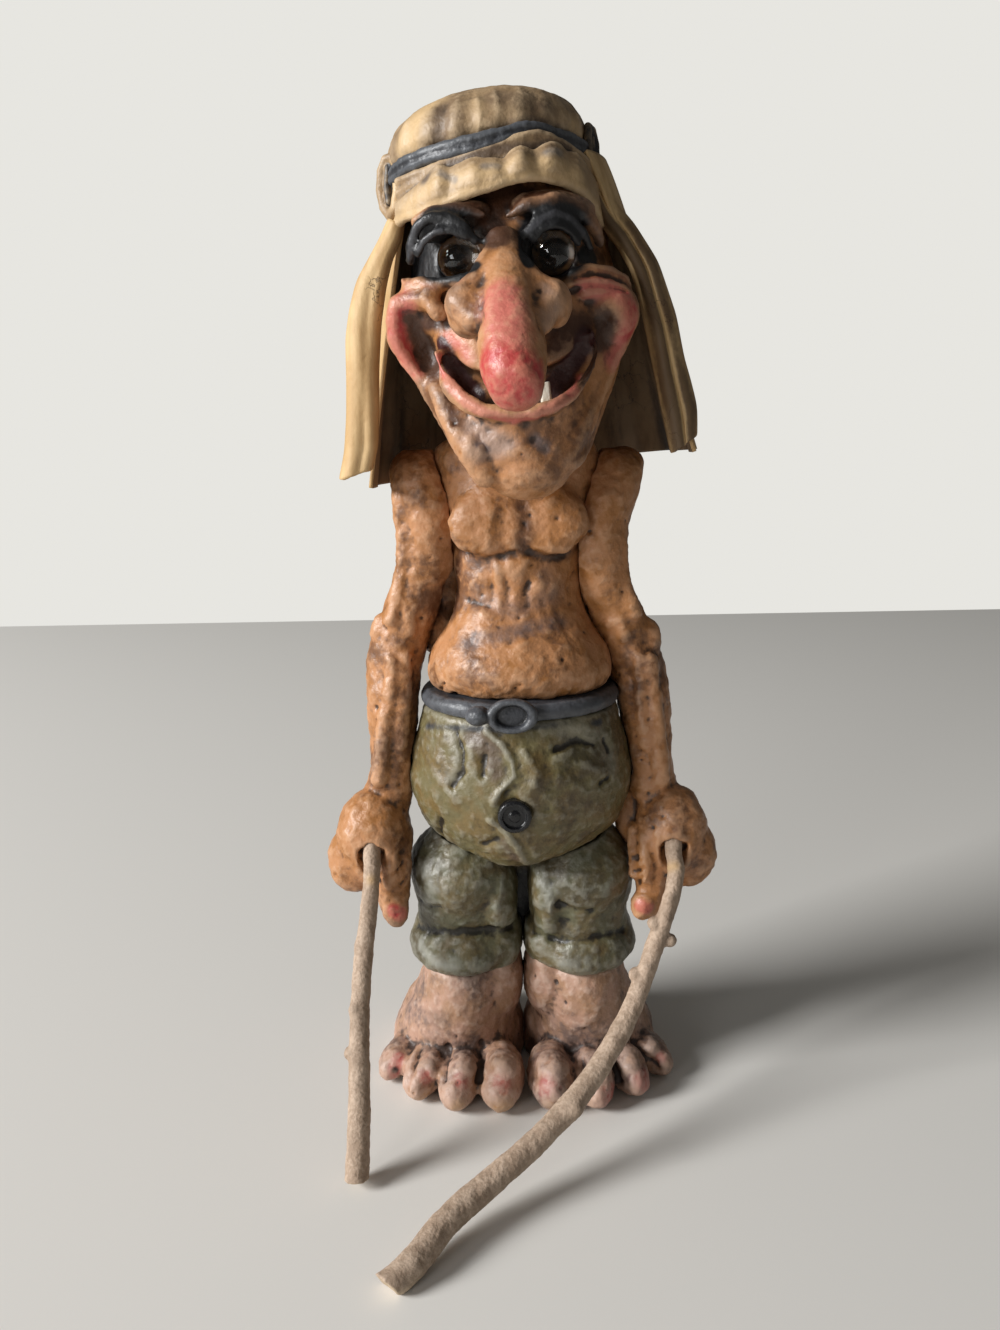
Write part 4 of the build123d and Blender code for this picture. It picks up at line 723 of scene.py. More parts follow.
# %% Face paint
HEAD_STROKES = {
    "black": [([(438, 245, -41), (452, 246, -42)], 7.4, 2.4),
        ([(425, 268), (440, 273), (460, 276), (474, 267)], 2.0, 1.2),
        ([(411, 252), (415, 262), (421, 270)], 5.0, 2.0), ([(428, 250), (432, 258), (434, 266)], 4.0, 2.4),
        ([(590, 244), (590, 256)], 3.0, 1.4), ([(548, 241, -42), (560, 240, -41)], 7.4, 2.4),
        ([(522, 245), (527, 262), (545, 273), (566, 271), (583, 256)], 2.2, 1.2)],
    # The lid coat is dark grey on the ridges of the black lids: a painted highlight.
    "lid": [([(410, 257), (412, 240), (420, 223)], 1.2, 0.9),
        ([(419, 250), (427, 238), (440, 231)], 0.9, 1.0),
        ([(528, 231), (540, 219), (556, 212), (572, 219), (584, 233)], 1.1, 0.75)],
    # The brown strokes are painted shade: under the ruffle, between the brows, in the smile hollows, under
    # the cheeks and eye bags and beside the jaw.
    "brown": [([(425, 208), (455, 206), (480, 205), (505, 200), (545, 190), (580, 198)], 5.5, 1.1),
        ([(490, 222), (500, 232)], 4.6, 1.0), (RIGHT_SMILE_HOLLOW, 3.6, 0.9),
        (LEFT_SMILE_HOLLOW, 4.6, 0.9), ([(410, 320), (425, 322), (446, 322)], 2.6, 1.0),
        ([(444, 398), (456, 425)], 3.0, 0.8), ([(560, 345), (584, 325)], 6.0, 0.9),
        ([(596, 400), (584, 430)], 4.0, 0.4), ([(596, 238), (602, 258)], 3.5, 0.8),
        ([(404, 296), (425, 292), (455, 290)], 2.2, 0.6), ([(447, 300), (452, 318)], 2.0, 0.6)],
    "pink": [([(498, 296), (506, 320), (508, 345)], 7.5, 0.9), (pixels_of(LOWER_LIP), 2.0, 1.0),
        ([(402, 303), (398, 322), (403, 345), (412, 366)], 4.4, 1.0),
        ([(590, 288), (612, 288), (630, 305), (628, 330), (615, 358)], 4.2, 0.9),
        ([(402, 282), (430, 284), (462, 281)], 2.4, 0.4),
        ([(580, 272), (605, 272), (622, 281)], 4.0, 0.35),
        ([(447, 336), (460, 345), (468, 358)], 3.2, 0.65)],
    "red": [([(492, 372), (506, 376), (522, 380), (512, 396)], 6.6, 1.5),
        ([(506, 398), (518, 402)], 4.5, 1.0), ([(397, 318), (396, 335), (405, 355)], 3.2, 1.0),
        ([(628, 300), (633, 315), (630, 332)], 3.4, 0.95)],
    "pale": [([(470, 430), (484, 438), (500, 443), (478, 448)], 5.0, 0.85),
        ([(548, 290), (556, 306), (545, 322)], 4.5, 0.6), ([(511, 300), (520, 325)], 2.5, 0.4)],
    "grey": [([(537, 440), (545, 448)], 2.4, 0.8), ([(478, 445), (486, 449)], 1.6, 0.8)],
    "shade": [(pixels_of(RIGHT_BROW), 4.2, 0.9), (pixels_of(LEFT_BROW), 3.6, 0.6),
        ([(486, 218), (492, 228), (498, 238)], 4.6, 1.0), ([(430, 196), (470, 190), (510, 184)], 6.0, 0.8),
        (RIGHT_SMILE_HOLLOW, 2.8, 0.8), (LEFT_SMILE_HOLLOW, 3.4, 0.7)],
    "mouth": [([(441, 345), (450, 362), (462, 380), (478, 397)], 2.3, 1.3),
        ([(588, 335), (578, 353), (564, 373), (548, 393)], 3.0, 1.3)]}
dress(head, "head", skin_paint, rough=[(5.0, 0.4), (1.8, 0.14)], pits=(26, 3, 0.7), strokes=HEAD_STROKES)

# %% [markdown]
# ## Trunk
# Two flat breasts with a cleft, a crease under them, knobbly ribs and a roll of belly over the belt.
# Grey-brown paint was dragged across the midriff.

# %% Trunk
CHEST_CLEFT = [(497, 500), (500, 522), (499, 545), (510, 554)]
UNDER_CHEST = [
    [(450, 536), (458, 548), (471, 556), (497, 557), (514, 554)],
    [(530, 553), (545, 557), (565, 555), (582, 542), (591, 527)]]
RIB_GROOVES = [
    [(491, 572), (492, 600)], [(506, 578), (506, 604)], [(528, 580), (526, 606)], [(468, 600), (490, 608)]]
BELLY_CRACKS = [[(444, 683), (441, 691)], [(454, 693), (456, 702)], [(462, 696), (465, 703)]]
RIBS = [
    ((474, 583), 4.0, 1.0), ((499, 575), 3.6, 0.9), ((516, 571), 4.0, 0.8), ((480, 620), 6.0, 0.8),
    ((550, 585), 5.0, 0.7)]
MIDRIFF_SMEARS = [
    ([(465, 643), (500, 636), (530, 628), (560, 622)], 4.2, 0.62),
    ([(478, 601), (515, 611), (555, 592)], 6.0, 0.55), ([(468, 562), (480, 566), (495, 566)], 3.0, 0.5),
    ([(545, 570), (552, 600)], 5.0, 0.5)]
BREAST_MIDDLES = [(474, 526), (546, 526)]
CLEFT_FILL = [(492, 512), (502, 528), (512, 542)]
CLEFT_FILL_SINK = 5.5
CLEFT_FILL_RADIUS = 5.0
BREAST_RADIUS = 9.0
BREAST_PUSH = (0, 1.6, 0)
CHEST_FLATS = [((470, 505), 10.0), ((546, 505), 10.0), ((452, 524), 8.0), ((576, 522), 8.0),
               ((505, 520), 6.0)]
TORSO_STROKES = {
    "grey": MIDRIFF_SMEARS,
    # The brown strokes are painted shade: in the cleft, under the breasts and on the flanks beside the arms.
    "brown": [(CHEST_CLEFT, 2.4, 0.4), *[(line, 2.4, 0.65) for line in UNDER_CHEST],
        ([(520, 503), (526, 525), (521, 548)], 4.0, 0.7), ([(458, 562), (457, 590), (450, 615)], 3.0, 0.8),
        ([(590, 560), (588, 595)], 4.0, 0.8)]}
breast_depth = sum(point[1] for point in touch(nodes["torso"], BREAST_MIDDLES)) / len(BREAST_MIDDLES)
torso_clay = merged_copy("torso")
cleft_depth = breast_depth + CLEFT_FILL_SINK
roll(torso_clay, [at_depth(pixel, cleft_depth) for pixel in CLEFT_FILL], CLEFT_FILL_RADIUS)
torso = knead("torso_casting", torso_clay, voxel=0.65, rounds=24)
grab(torso, *[(pixel, BREAST_RADIUS, BREAST_PUSH) for pixel in BREAST_MIDDLES])
soften(torso, *CHEST_FLATS, rounds=120)
press(torso, CHEST_CLEFT, depth=0.7, width=2.2)
press(torso, *UNDER_CHEST, depth=1.0, width=2.0)
press(torso, *RIB_GROOVES, depth=0.6, width=1.5)
press(torso, *BELLY_CRACKS, depth=1.0, width=0.6)
swell(torso, *RIBS)
dress(torso, "torso", skin_paint, rough=[(7.0, 0.75), (2.5, 0.26)], pits=(30, 5, 0.8), strokes=TORSO_STROKES)

# %% [markdown]
# ## Arms
# Thin sinewy arms with knobbly elbows, cast with their fists. Sinews are rolls along the arm. Two fingers
# curl beside the hole of the stick, and the thumb hangs below with a painted nail. Clay at the flank closes
# the gap to the trunk.

# %% Arms
SINEWS = {
    "right": [[(400, 500, -7), (405, 540, -7.6), (402, 580, -7.6), (392, 620, -8.4)],
        [(420, 520, -6.5), (417, 560, -7.4), (412, 600, -7.8), (408, 632, -8.4)],
        [(392, 662, -9), (390, 700, -10.2), (384, 740, -11.6), (378, 780, -13)],
        [(404, 658, -8.4), (402, 700, -9.6), (398, 745, -11)]],
    "left": [[(622, 500, -7), (619, 540, -7.6), (622, 580, -7.6), (634, 612, -8.4)],
        [(606, 520, -6.5), (606, 560, -7.4), (614, 600, -7.8), (626, 635, -8.4)],
        [(650, 662, -9), (655, 700, -10.2), (658, 740, -11.6), (662, 780, -13)],
        [(640, 658, -8.4), (644, 700, -9.6), (648, 745, -11)]]}
ELBOWS = {
    "right": [((384, 632, -3), (4.6, 5.0, 6.5)), ((399, 650, -7), (3.0, 3.0, 4.5))],
    "left": [((647, 640, -3), (4.6, 5.0, 7.5)), ((634, 655, -7), (2.8, 3.0, 4.5))]}
FINGERS = {
    "right": [[(391, 828, -12.5), (392, 848, -15.5), (392, 866, -17.5), (390, 882, -18)],
        [(403, 836, -10.5), (404, 858, -13.5), (404, 878, -15)]],
    "left": [[(647, 822, -12.5), (646, 842, -15.5), (645, 860, -17.5), (646, 877, -18)],
        [(635, 830, -10.5), (634, 852, -13.5), (635, 872, -15)]]}
FLANK_CLAY = {
    "right": [((449, 560, 6.0), (6.0, 5.0, 14.0)), ((436, 620, 5.0), (6.0, 5.0, 12.0)),
        ((444, 592, 6.0), (6.5, 5.0, 12.0))],
    "left": [((599, 560, 6.0), (6.0, 5.0, 14.0)), ((614, 640, 5.0), (6.0, 5.0, 14.0)),
        ((630, 812, -3.0), (5.0, 6.0, 11.0))]}
THUMB_TIPS = {"right": (396, 911, -17.5), "left": (644, 905, -17.5)}
FINGER_CREASES = {
    "right": [[(404, 838), (396, 847)], [(402, 864), (393, 873)], [(407, 877), (402, 885)]],
    "left": [[(628, 861), (637, 857)], [(634, 872), (643, 868)], [(630, 884), (638, 884)]]}
NAILS = {"right": [(393, 911), (401, 914)], "left": [(640, 906), (647, 909)]}
SINEW_SINK = 2.0
SINEW_RADIUS = 3.0
FINGER_RADIUS = 2.6
THUMB_RADII = (4.3, 3.8, 5.4)
for side in SIDES:
    arm_clay = merged_copy(side + "_arm")
    for sinew in SINEWS[side]:
        roll(arm_clay, [point + Vector((0, SINEW_SINK, 0)) for point in drawn(sinew)], SINEW_RADIUS)
    for (x, y, depth), radii in ELBOWS[side]:
        lump(arm_clay, at_depth((x, y), depth + SINEW_SINK), radii)
    for spot, radii in FLANK_CLAY[side]:
        lump(arm_clay, *drawn([spot]), radii)
    for finger in FINGERS[side]:
        roll(arm_clay, drawn(finger), FINGER_RADIUS)
    lump(arm_clay, *drawn([THUMB_TIPS[side]]), THUMB_RADII)
    arm = knead(side + "_arm_casting", arm_clay, voxel=0.6, rounds=14)
    press(arm, *FINGER_CREASES[side], depth=0.55, width=0.8)
    dress(arm, side + "_arm", skin_paint, rough=[(7.0, 0.9), (2.6, 0.28)], pits=(24, 7, 0.8),
          strokes={"red": [(NAILS[side], 2.6, 1.1)]})

# %% [markdown]
# ## Trousers, belt and legs
# A round seat of olive cloth, cast with its creases, a dark tie at the waist and two baggy legs with cuffs.
# The legs touch at the midline, so clay fills the space between them.

# %% Trousers and belt
FLY_RIDGE = [(486, 731), (491, 736), (503, 747), (512, 763), (514, 777), (501, 791), (493, 801)]
LOW_FLY_RIDGE = [(491, 821), (507, 833), (518, 846), (526, 862)]
SEAT_CREASES = [
    [(455, 729), (463, 752), (461, 772), (452, 787)], [(605, 739), (609, 750)], [(440, 821), (441, 834)],
    [(484, 845), (497, 840)], [(556, 750), (578, 741), (594, 745)], [(602, 783), (609, 778)],
    [(484, 757), (483, 775)]]
SEAT_RIDGES = [
    [(432, 770), (446, 787), (458, 802)], [(543, 732), (574, 727), (596, 730)],
    [(556, 757), (587, 765), (603, 775)]]
SEAT_DROOP = ((516, 852), 13.0, (0, -0.5, -3.4))
SEAT_PATCH = [(472, 735), (492, 752), (496, 772)]
TROUSER_STROKES = {
    "pale": [([(455, 735), (458, 760), (452, 780)], 3.0, 0.55),
        ([(560, 728), (600, 735), (615, 765)], 4.5, 0.6), (FLY_RIDGE, 0.9, 0.65),
        (LOW_FLY_RIDGE, 0.9, 0.6)],
    "brown": [(SEAT_PATCH, 4.0, 0.8), ([(503, 842), (515, 858)], 3.0, 0.7),
        ([(545, 790), (590, 800)], 9.0, 0.4)],
    # The second black stroke, down between the legs, is painted shade.
    "black": [([(428, 726), (460, 728), (500, 729), (545, 726), (600, 722)], 1.6, 0.8),
        ([(523, 882), (525, 905), (526, 925)], 5.0, 1.4)]}
trousers = knead("trousers_casting", merged_copy("trousers"), voxel=0.65, rounds=34)
grab(trousers, SEAT_DROOP)
press(trousers, FLY_RIDGE, LOW_FLY_RIDGE, depth=-0.95, width=1.2)
press(trousers, *SEAT_CREASES, depth=1.0, width=1.2)
press(trousers, *SEAT_RIDGES, depth=-0.4, width=1.6)
dress(trousers, "trousers", trouser_paint, rough=[(8.0, 0.8), (2.4, 0.3)], strokes=TROUSER_STROKES)
belt = knead("belt_casting", merged_copy("belt"), voxel=0.55, rounds=3)
dress(belt, "belt", belt_paint, rough=[(5.0, 0.35)])
belt_knot = knead("belt_knot_casting", merged_copy("belt_knot"), voxel=0.32, rounds=4)
dress(belt_knot, "belt_knot", belt_paint, rough=[(3.0, 0.2)], wash_and_shade=(2.0, 0.6))

# %% Legs
KNEE_CREASES = {
    "right": [[(416, 926), (431, 931), (462, 933), (498, 931), (513, 927)], [(418, 900), (440, 908)]],
    "left": [[(531, 932), (564, 942), (600, 936), (625, 930)], [(560, 905), (590, 912)]]}
# Pale strokes on the knees and the cuffs are painted highlights.
LEG_HIGHLIGHTS = {
    "right": [([(424, 868), (432, 888), (428, 905)], 4.0, 0.5),
        ([(420, 945), (435, 962), (455, 968)], 2.6, 0.6)],
    "left": [([(540, 882), (552, 890), (548, 905)], 3.4, 0.5),
        ([(540, 950), (565, 966), (590, 960)], 2.8, 0.4)]}
LEG_FILL = [((8.2, -5.0, 45.0), (8.7, 14.0, 11.0)), ((8.4, -8.0, 62.0), (7.2, 13.0, 17.0)),
            ((8.4, 5.0, 62.0), (7.2, 11.0, 17.0))]
for side in SIDES:
    leg_clay = merged_copy(side + "_leg")
    for (out, depth, height), radii in LEG_FILL:
        lump(leg_clay, (OUTWARDS[side] * out, depth, height), radii)
    leg = knead(side + "_leg_casting", leg_clay, voxel=0.65, rounds=26)
    press(leg, *KNEE_CREASES[side], depth=1.2, width=1.6)
    dress(leg, side + "_leg", leg_paint, rough=[(8.0, 0.9), (2.6, 0.3)], strokes={"pale": LEG_HIGHLIGHTS[side]})

# %% [markdown]
# ## Feet
# Broad bare feet with four toes each, deep gaps between the toes and reddened tips. An egg of clay makes
# each toe longer, set a little behind and below the point that the photograph shows. Pink goes wider and
# weaker than red.

# %% Feet
TOE_GAPS = {
    "right": [[(420, 1050), (413, 1072), (407, 1090)], [(448, 1047), (445, 1080), (443, 1106)],
        [(482, 1042), (480, 1080), (478, 1113)]],
    "left": [[(582, 1060), (587, 1085), (590, 1108)], [(612, 1060), (620, 1080), (627, 1095)],
        [(633, 1042), (646, 1055), (658, 1068)]]}
TOE_BODIES = {
    "right": [((408, 1054), 4.4), ((432, 1060), 4.8), ((464, 1062), 4.8), ((504, 1064), 5.8)],
    "left": [((552, 1064), 5.8), ((598, 1064), 4.8), ((628, 1056), 4.8), ((648, 1042), 4.4)]}
TOE_SINK = Vector((0, 1.5, -2.8))
TOE_KNUCKLES = {
    "right": [((399, 1058), 3.4, 1.0), ((430, 1070), 3.4, 1.2), ((463, 1072), 3.4, 1.2),
        ((505, 1070), 4.0, 1.2)],
    "left": [((555, 1075), 4.0, 1.2), ((602, 1080), 3.4, 1.2), ((635, 1068), 3.2, 1.0),
        ((655, 1048), 3.0, 1.0)]}
RED_TOES = {
    "right": [([(398, 1057), (393, 1075)], 2.4, 0.8), ([(426, 1078)], 3.4, 0.6), ([(462, 1082)], 4.0, 0.6),
        ([(503, 1084)], 5.0, 0.55)],
    "left": [([(545, 1086)], 4.6, 0.6), ([(611, 1096)], 4.2, 0.95), ([(646, 1082)], 4.0, 0.95),
        ([(661, 1058)], 2.4, 0.7)]}
OCHRE_TOES = {
    "right": [([(424, 1098)], 3.4, 0.8), ([(458, 1108)], 3.4, 0.9), ([(504, 1110)], 5.0, 0.9)],
    "left": [([(550, 1106)], 4.0, 0.5)]}
GREY_SKIN = {
    "right": [([(410, 1010), (440, 1020), (432, 1045)], 6.0, 0.5), ([(470, 1040), (500, 1050)], 4.0, 0.5)],
    "left": [([(545, 1010), (560, 1045), (600, 1030)], 6.5, 0.5), ([(640, 1030), (655, 1045)], 4.0, 0.5)]}
DARK_NAILS = {
    "right": [([(395, 1070)], 1.6, 0.9), ([(430, 1085)], 1.2, 0.5)],
    "left": [([(607, 1090)], 0.5, 1.0), ([(612, 1089)], 0.5, 1.0)]}
TOE_HALF_LENGTH = 7.0
PINK_WIDTH, PINK_STRENGTH = 1.4, 0.8
FOOT_FILL_OUT, FOOT_FILL_DEPTH, FOOT_FILL_HEIGHT = 8.4, -4.0, 31.0
FOOT_FILL_RADII = (8.9, 14.0, 17.0)
for side in SIDES:
    foot_clay = merged_copy(side + "_foot")
    lump(foot_clay, (OUTWARDS[side] * FOOT_FILL_OUT, FOOT_FILL_DEPTH, FOOT_FILL_HEIGHT), FOOT_FILL_RADII)
    for pixel, radius in TOE_BODIES[side]:
        toe = touch(nodes[side + "_foot"], [pixel])[0] + TOE_SINK
        lump(foot_clay, toe, (radius, TOE_HALF_LENGTH, radius))
    foot = knead(side + "_foot_casting", foot_clay, voxel=0.62, rounds=20)
    press(foot, *TOE_GAPS[side], depth=1.2, width=1.2)
    swell(foot, *TOE_KNUCKLES[side])
    pink = [(line, PINK_WIDTH * width, PINK_STRENGTH * strength) for line, width, strength in RED_TOES[side]]
    strokes = {"grey": GREY_SKIN[side], "pink": pink, "red": RED_TOES[side], "ochre": OCHRE_TOES[side],
               "black": DARK_NAILS[side]}
    dress(foot, side + "_foot", foot_paint, rough=[(6.0, 0.7), (2.0, 0.28)], pits=(30, 11, 0.7),
          strokes=strokes)

# %% [markdown]
# ## Cap
# A gathered bag with a dark tie and a ruffled edge over the forehead. The ruffle is built up in rows of
# rolls from its lower edge to its top, and each row comes forward at the fat bumps. More rows, set further
# back, fill the space up to the tie, which rises a little in front. The crown and the tie are tucked in on
# the left.

# %% Crown and tie
CROWN_GATHERS = [
    [(445, 104), (441, 128), (438, 148)], [(470, 95), (472, 120), (470, 138)],
    [(484, 92), (487, 112), (485, 134)], [(505, 90), (508, 108), (507, 124)],
    [(535, 92), (540, 108), (545, 120)]]
CROWN_TUCK = 2.4
TUCK_START, TUCK_WIDTH = 5, 18
TIE_RISE = 1.8
TIE_RISE_PLACE = 3.0
TIE_RISE_WIDTH = 8.0
TIE_FRONT = -10
CROWN_STROKES = {
    "ochre": [([(405, 140), (415, 120), (425, 108)], 7.0, 0.9), ([(478, 100), (478, 125)], 3.0, 0.5),
        ([(572, 125), (580, 145)], 4.0, 0.6)],
    "brown": [([(440, 110), (440, 145)], 3.0, 0.8), ([(495, 95), (520, 100), (550, 110)], 6.0, 0.6),
        ([(420, 160), (460, 148), (500, 136), (530, 124), (560, 132)], 3.0, 0.9)]}


def tucked(piece):
    """A cap piece's points, with its left side tucked in."""
    places, _ = points_of(piece)
    places[:, 0] -= CROWN_TUCK * np.clip((places[:, 0] - TUCK_START) / TUCK_WIDTH, 0, 1)
    return places


crown = knead("cap_crown_casting", merged_copy("cap_crown"), voxel=0.65, rounds=130)
move_points(crown, tucked(crown))
press(crown, *CROWN_GATHERS, depth=0.7, width=2.6)
dress(crown, "cap_crown", cap_paint, rough=[(9.0, 0.5), (2.6, 0.15)], strokes=CROWN_STROKES)
band = knead("cap_band_casting", merged_copy("cap_band"), voxel=0.45, rounds=3)
places = tucked(band)
in_front = places[:, 1] < TIE_FRONT
places[:, 2] += TIE_RISE * np.exp(-((places[:, 0] - TIE_RISE_PLACE) / TIE_RISE_WIDTH) ** 2) * in_front
move_points(band, places)
dress(band, "cap_band", belt_paint, rough=[(4.0, 0.45)], wash_and_shade=(1.6, 0.6))

# %% Ruffle
FRILL_EDGE = [
    (399, 222, -25.5), (405, 217, -28), (422, 213, -33.5), (446, 202, -38), (476, 191, -41.5),
    (503, 182, -42.5), (528, 176, -42), (547, 178, -40), (565, 182, -37), (581, 191, -33.5),
    (593, 206, -28.5), (602, 223, -23.5)]
FRILL_TOP = [
    (399, 208, -26), (410, 196, -29.5), (424, 186, -32.5), (440, 167, -36), (449, 175, -36.5),
    (462, 167, -38), (474, 161, -39), (486, 164, -39.5), (497, 161, -39.5), (504, 168, -39.5),
    (519, 148, -39.5), (533, 158, -38.5), (545, 148, -37.5), (556, 146, -36), (566, 158, -34),
    (575, 156, -32.5), (584, 171, -29.5), (593, 185, -25.5), (602, 206, -21)]
FRILL_BULGE = [
    (399, 0.5), (424, 0.3), (440, 2.4), (450, 0.2), (474, 2.0), (486, 1.3), (496, 2.0), (504, 0.1),
    (519, 2.6), (533, 0.1), (553, 2.8), (566, 0.3), (575, 1.8), (584, 0.4), (593, 1.2), (602, 0.5)]
FRILL_ROWS = [(0.0, 0.1), (0.12, 0.3), (0.3, 0.8), (0.48, 1.0), (0.66, 1.0), (0.83, 0.7), (1.0, 0.2)]
FRILL_COLUMNS = 46
FRILL_THICKNESS = 1.35
TIE_LINE = [(399, 182), (440, 166), (480, 152), (514, 139), (539, 134), (560, 143), (585, 161), (602, 178)]
FILL_ROWS = (0.0, 0.3, 0.65, 1.0)
FILL_SINK = 2.6
FILL_START = 8
FRILL_STROKES = {
    "ochre": [([(404, 210), (440, 180), (480, 174), (519, 162), (553, 162), (580, 178)], 3.6, 0.7),
        (pixels_of(FRILL_EDGE), 2.4, 0.9)],
    "brown": [([(425, 178), (452, 166), (486, 153), (508, 148), (533, 148), (568, 148)], 2.0, 0.9)],
    "grey": [([(440, 172), (455, 180)], 1.6, 0.7), ([(484, 166), (498, 166)], 1.6, 0.7),
        ([(548, 152), (560, 152)], 2.0, 0.7)]}
edge, top, bulge, tie = (np.array(line) for line in (FRILL_EDGE, FRILL_TOP, FRILL_BULGE, TIE_LINE))
across = np.linspace(edge[0, 0], edge[-1, 0], FRILL_COLUMNS)


def level(line, axis=1):
    """One number of a line's spots, read off at every column of the ruffle."""
    return np.interp(across, line[:, 0], line[:, axis])


def evened(values):
    """Values averaged with their neighbours."""
    soft = np.hanning(5) / np.hanning(5).sum()
    return np.convolve(np.pad(values, 2, "edge"), soft, "valid")


frill_clay = bmesh.new()
swelling = evened(level(bulge))
top_line = evened(level(top))
for share, forward in FRILL_ROWS:
    down = (1 - share) * level(edge) + share * top_line
    depth = (1 - share) * level(edge, 2) + share * level(top, 2)
    roll(frill_clay, drawn(zip(across, down, depth - forward * swelling)), FRILL_THICKNESS)
for share in FILL_ROWS:
    down = (1 - share) * (top_line + FILL_START) + share * level(tie)
    roll(frill_clay, drawn(zip(across, down, level(top, 2) + FILL_SINK)), FRILL_THICKNESS)
frill = knead("cap_frill_casting", frill_clay, voxel=0.45, rounds=5)
dress(frill, "cap_frill", cap_paint, rough=[(4.0, 0.3)], strokes=FRILL_STROKES)

# %% Loops of the tie
LOOP_RINGS = {
    "right": [(397, 166, -15), (392, 158, -14), (386, 160, -13), (382, 172, -12), (381, 190, -12),
        (384, 207, -13), (390, 216, -15), (396, 208, -17), (398, 190, -17), (397, 166, -15)],
    "left": [(588, 127, -14), (592, 131, -12), (595, 143, -11), (596, 156, -12), (594, 166, -14),
        (590, 156, -16), (588, 140, -16), (588, 127, -14)]}
# Each slit is a thin roll painted black: painted shadow inside the tube end.
LOOP_SLIT_SHADOWS = {
    "right": [(388, 168, -14), (387, 185, -14), (389, 202, -15)],
    "left": [(592, 138, -13), (593, 154, -13)]}
LOOP_THICKNESS = {"right": 1.5, "left": 1.2}
SLIT_SHARE = 0.7
# Ochre on the right loop is a painted highlight.
LOOP_HIGHLIGHT = [(394, 170), (397, 200)]
loop_strokes = {side: {"black": [(pixels_of(LOOP_SLIT_SHADOWS[side]), 1.2, 1.5)]} for side in SIDES}
loop_strokes["right"]["ochre"] = [(LOOP_HIGHLIGHT, 4.0, 0.8)]
# The left loop is painted black all over as painted shade.
loop_strokes["left"]["black"].append((pixels_of(LOOP_RINGS["left"]), 3.0, 1.0))
for side in SIDES:
    loop_clay = bmesh.new()
    roll(loop_clay, drawn(LOOP_RINGS[side]), LOOP_THICKNESS[side])
    roll(loop_clay, drawn(LOOP_SLIT_SHADOWS[side]), SLIT_SHARE * LOOP_THICKNESS[side])
    loop = knead(side + "_cap_loop", loop_clay, voxel=0.3, rounds=4)
    dress(loop, side + "_cap_knot", cap_paint, rough=[(4.0, 0.25)], strokes=loop_strokes[side])

# %% [markdown]
# ## Kerchief
# The kerchief is thin skin. Its two ends hang in front of the ears as folded strips, and one sheet goes
# round the back of the head. The side of that sheet which faces the head is painted darker, as painted
# shade inside the kerchief. We draw the two edges of a strip in the photograph and fold the space between
# them.

# %% Kerchief material
CRACK_WAVES = 150
WANDER_WAVES = 2.2 * CRACK_WAVES
WANDER_REACH = 0.9 / CRACK_WAVES


def cracks_of(tree, stretch):
    """Distance to the wandering borders of cells, which makes crack lines."""
    place = node_of(tree, "TexCoord", "Object", {})
    wander = node_of(tree, "TexNoise", "Color", {"Vector": place, "Scale": WANDER_WAVES, "Detail": 3})
    shift = {0: wander, 1: (WANDER_REACH, WANDER_REACH, WANDER_REACH), 2: place}
    place = node_of(tree, "VectorMath", "Vector", shift, operation="MULTIPLY_ADD")
    place = node_of(tree, "Mapping", "Vector", {"Vector": place, "Scale": stretch})
    cells = {"Vector": place, "Scale": CRACK_WAVES}
    return node_of(tree, "TexVoronoi", "Distance", cells, feature="DISTANCE_TO_EDGE")


def cracked_skin(name, base, mottle, wash_and_shade, roughness):
    """Thin tanned skin: lengthwise fibres, a few fine cracks and painted shade in the folds."""
    material, tree, shader = new_material(name)
    fibres = noise_of(tree, 260, 5, (1.0, 1.0, 0.14))
    blotches = noise_of(tree, 110, 5)
    grain = noise_of(tree, 700, 4)
    hollow = varied(tree, layer_of(tree, "hollow"), (fibres, 0.4), (grain, 0.2))
    colour = coat_of(tree, between(tree, varied(tree, fibres, (blotches, 0.6)), 0.36, 0.66), base, mottle)
    cracks = between(tree, cracks_of(tree, (1.0, 1.0, 0.75)), 0.022, 0.006)
    few = combine(tree, "MULTIPLY", cracks, between(tree, noise_of(tree, 70, 3), 0.50, 0.62))
    colour = thin_coat(tree, between(tree, hollow, 0.54, 0.95), 0.85, colour, wash_and_shade)
    colour = thin_coat(tree, few, 0.65, colour, wash_and_shade)
    bumps = bump_of(tree, varied(tree, fibres, (grain, 0.6), (few, -0.8)), 0.45, 0.5)
    fill(tree, shader, {"Base Color": colour, "Roughness": roughness, "Normal": bumps})
    return material


lappet_skin = cracked_skin(
    "lappet_skin", (0.60, 0.41, 0.20), (0.49, 0.31, 0.135), (0.060, 0.030, 0.014), roughness=0.62)
# The lining is a darker copy of the kerchief skin: painted shade on the side that faces the head.
shaded_lining_skin = cracked_skin(
    "shaded_lining_skin", (0.21, 0.135, 0.070), (0.15, 0.090, 0.043), (0.022, 0.012, 0.006), roughness=0.7)


# %% Sheets
SHEET_THICKNESS = 1.1
HEAD_MIDDLE = Vector((0, 0, 235))


def along(line, share):
    """A point at a share of a line's length."""
    line = np.array(line, float)
    lengths = np.concatenate([[0], np.cumsum(np.linalg.norm(np.diff(line, axis=0), axis=1))])
    return np.array([np.interp(share * lengths[-1], lengths, line[:, axis]) for axis in range(line.shape[1])])


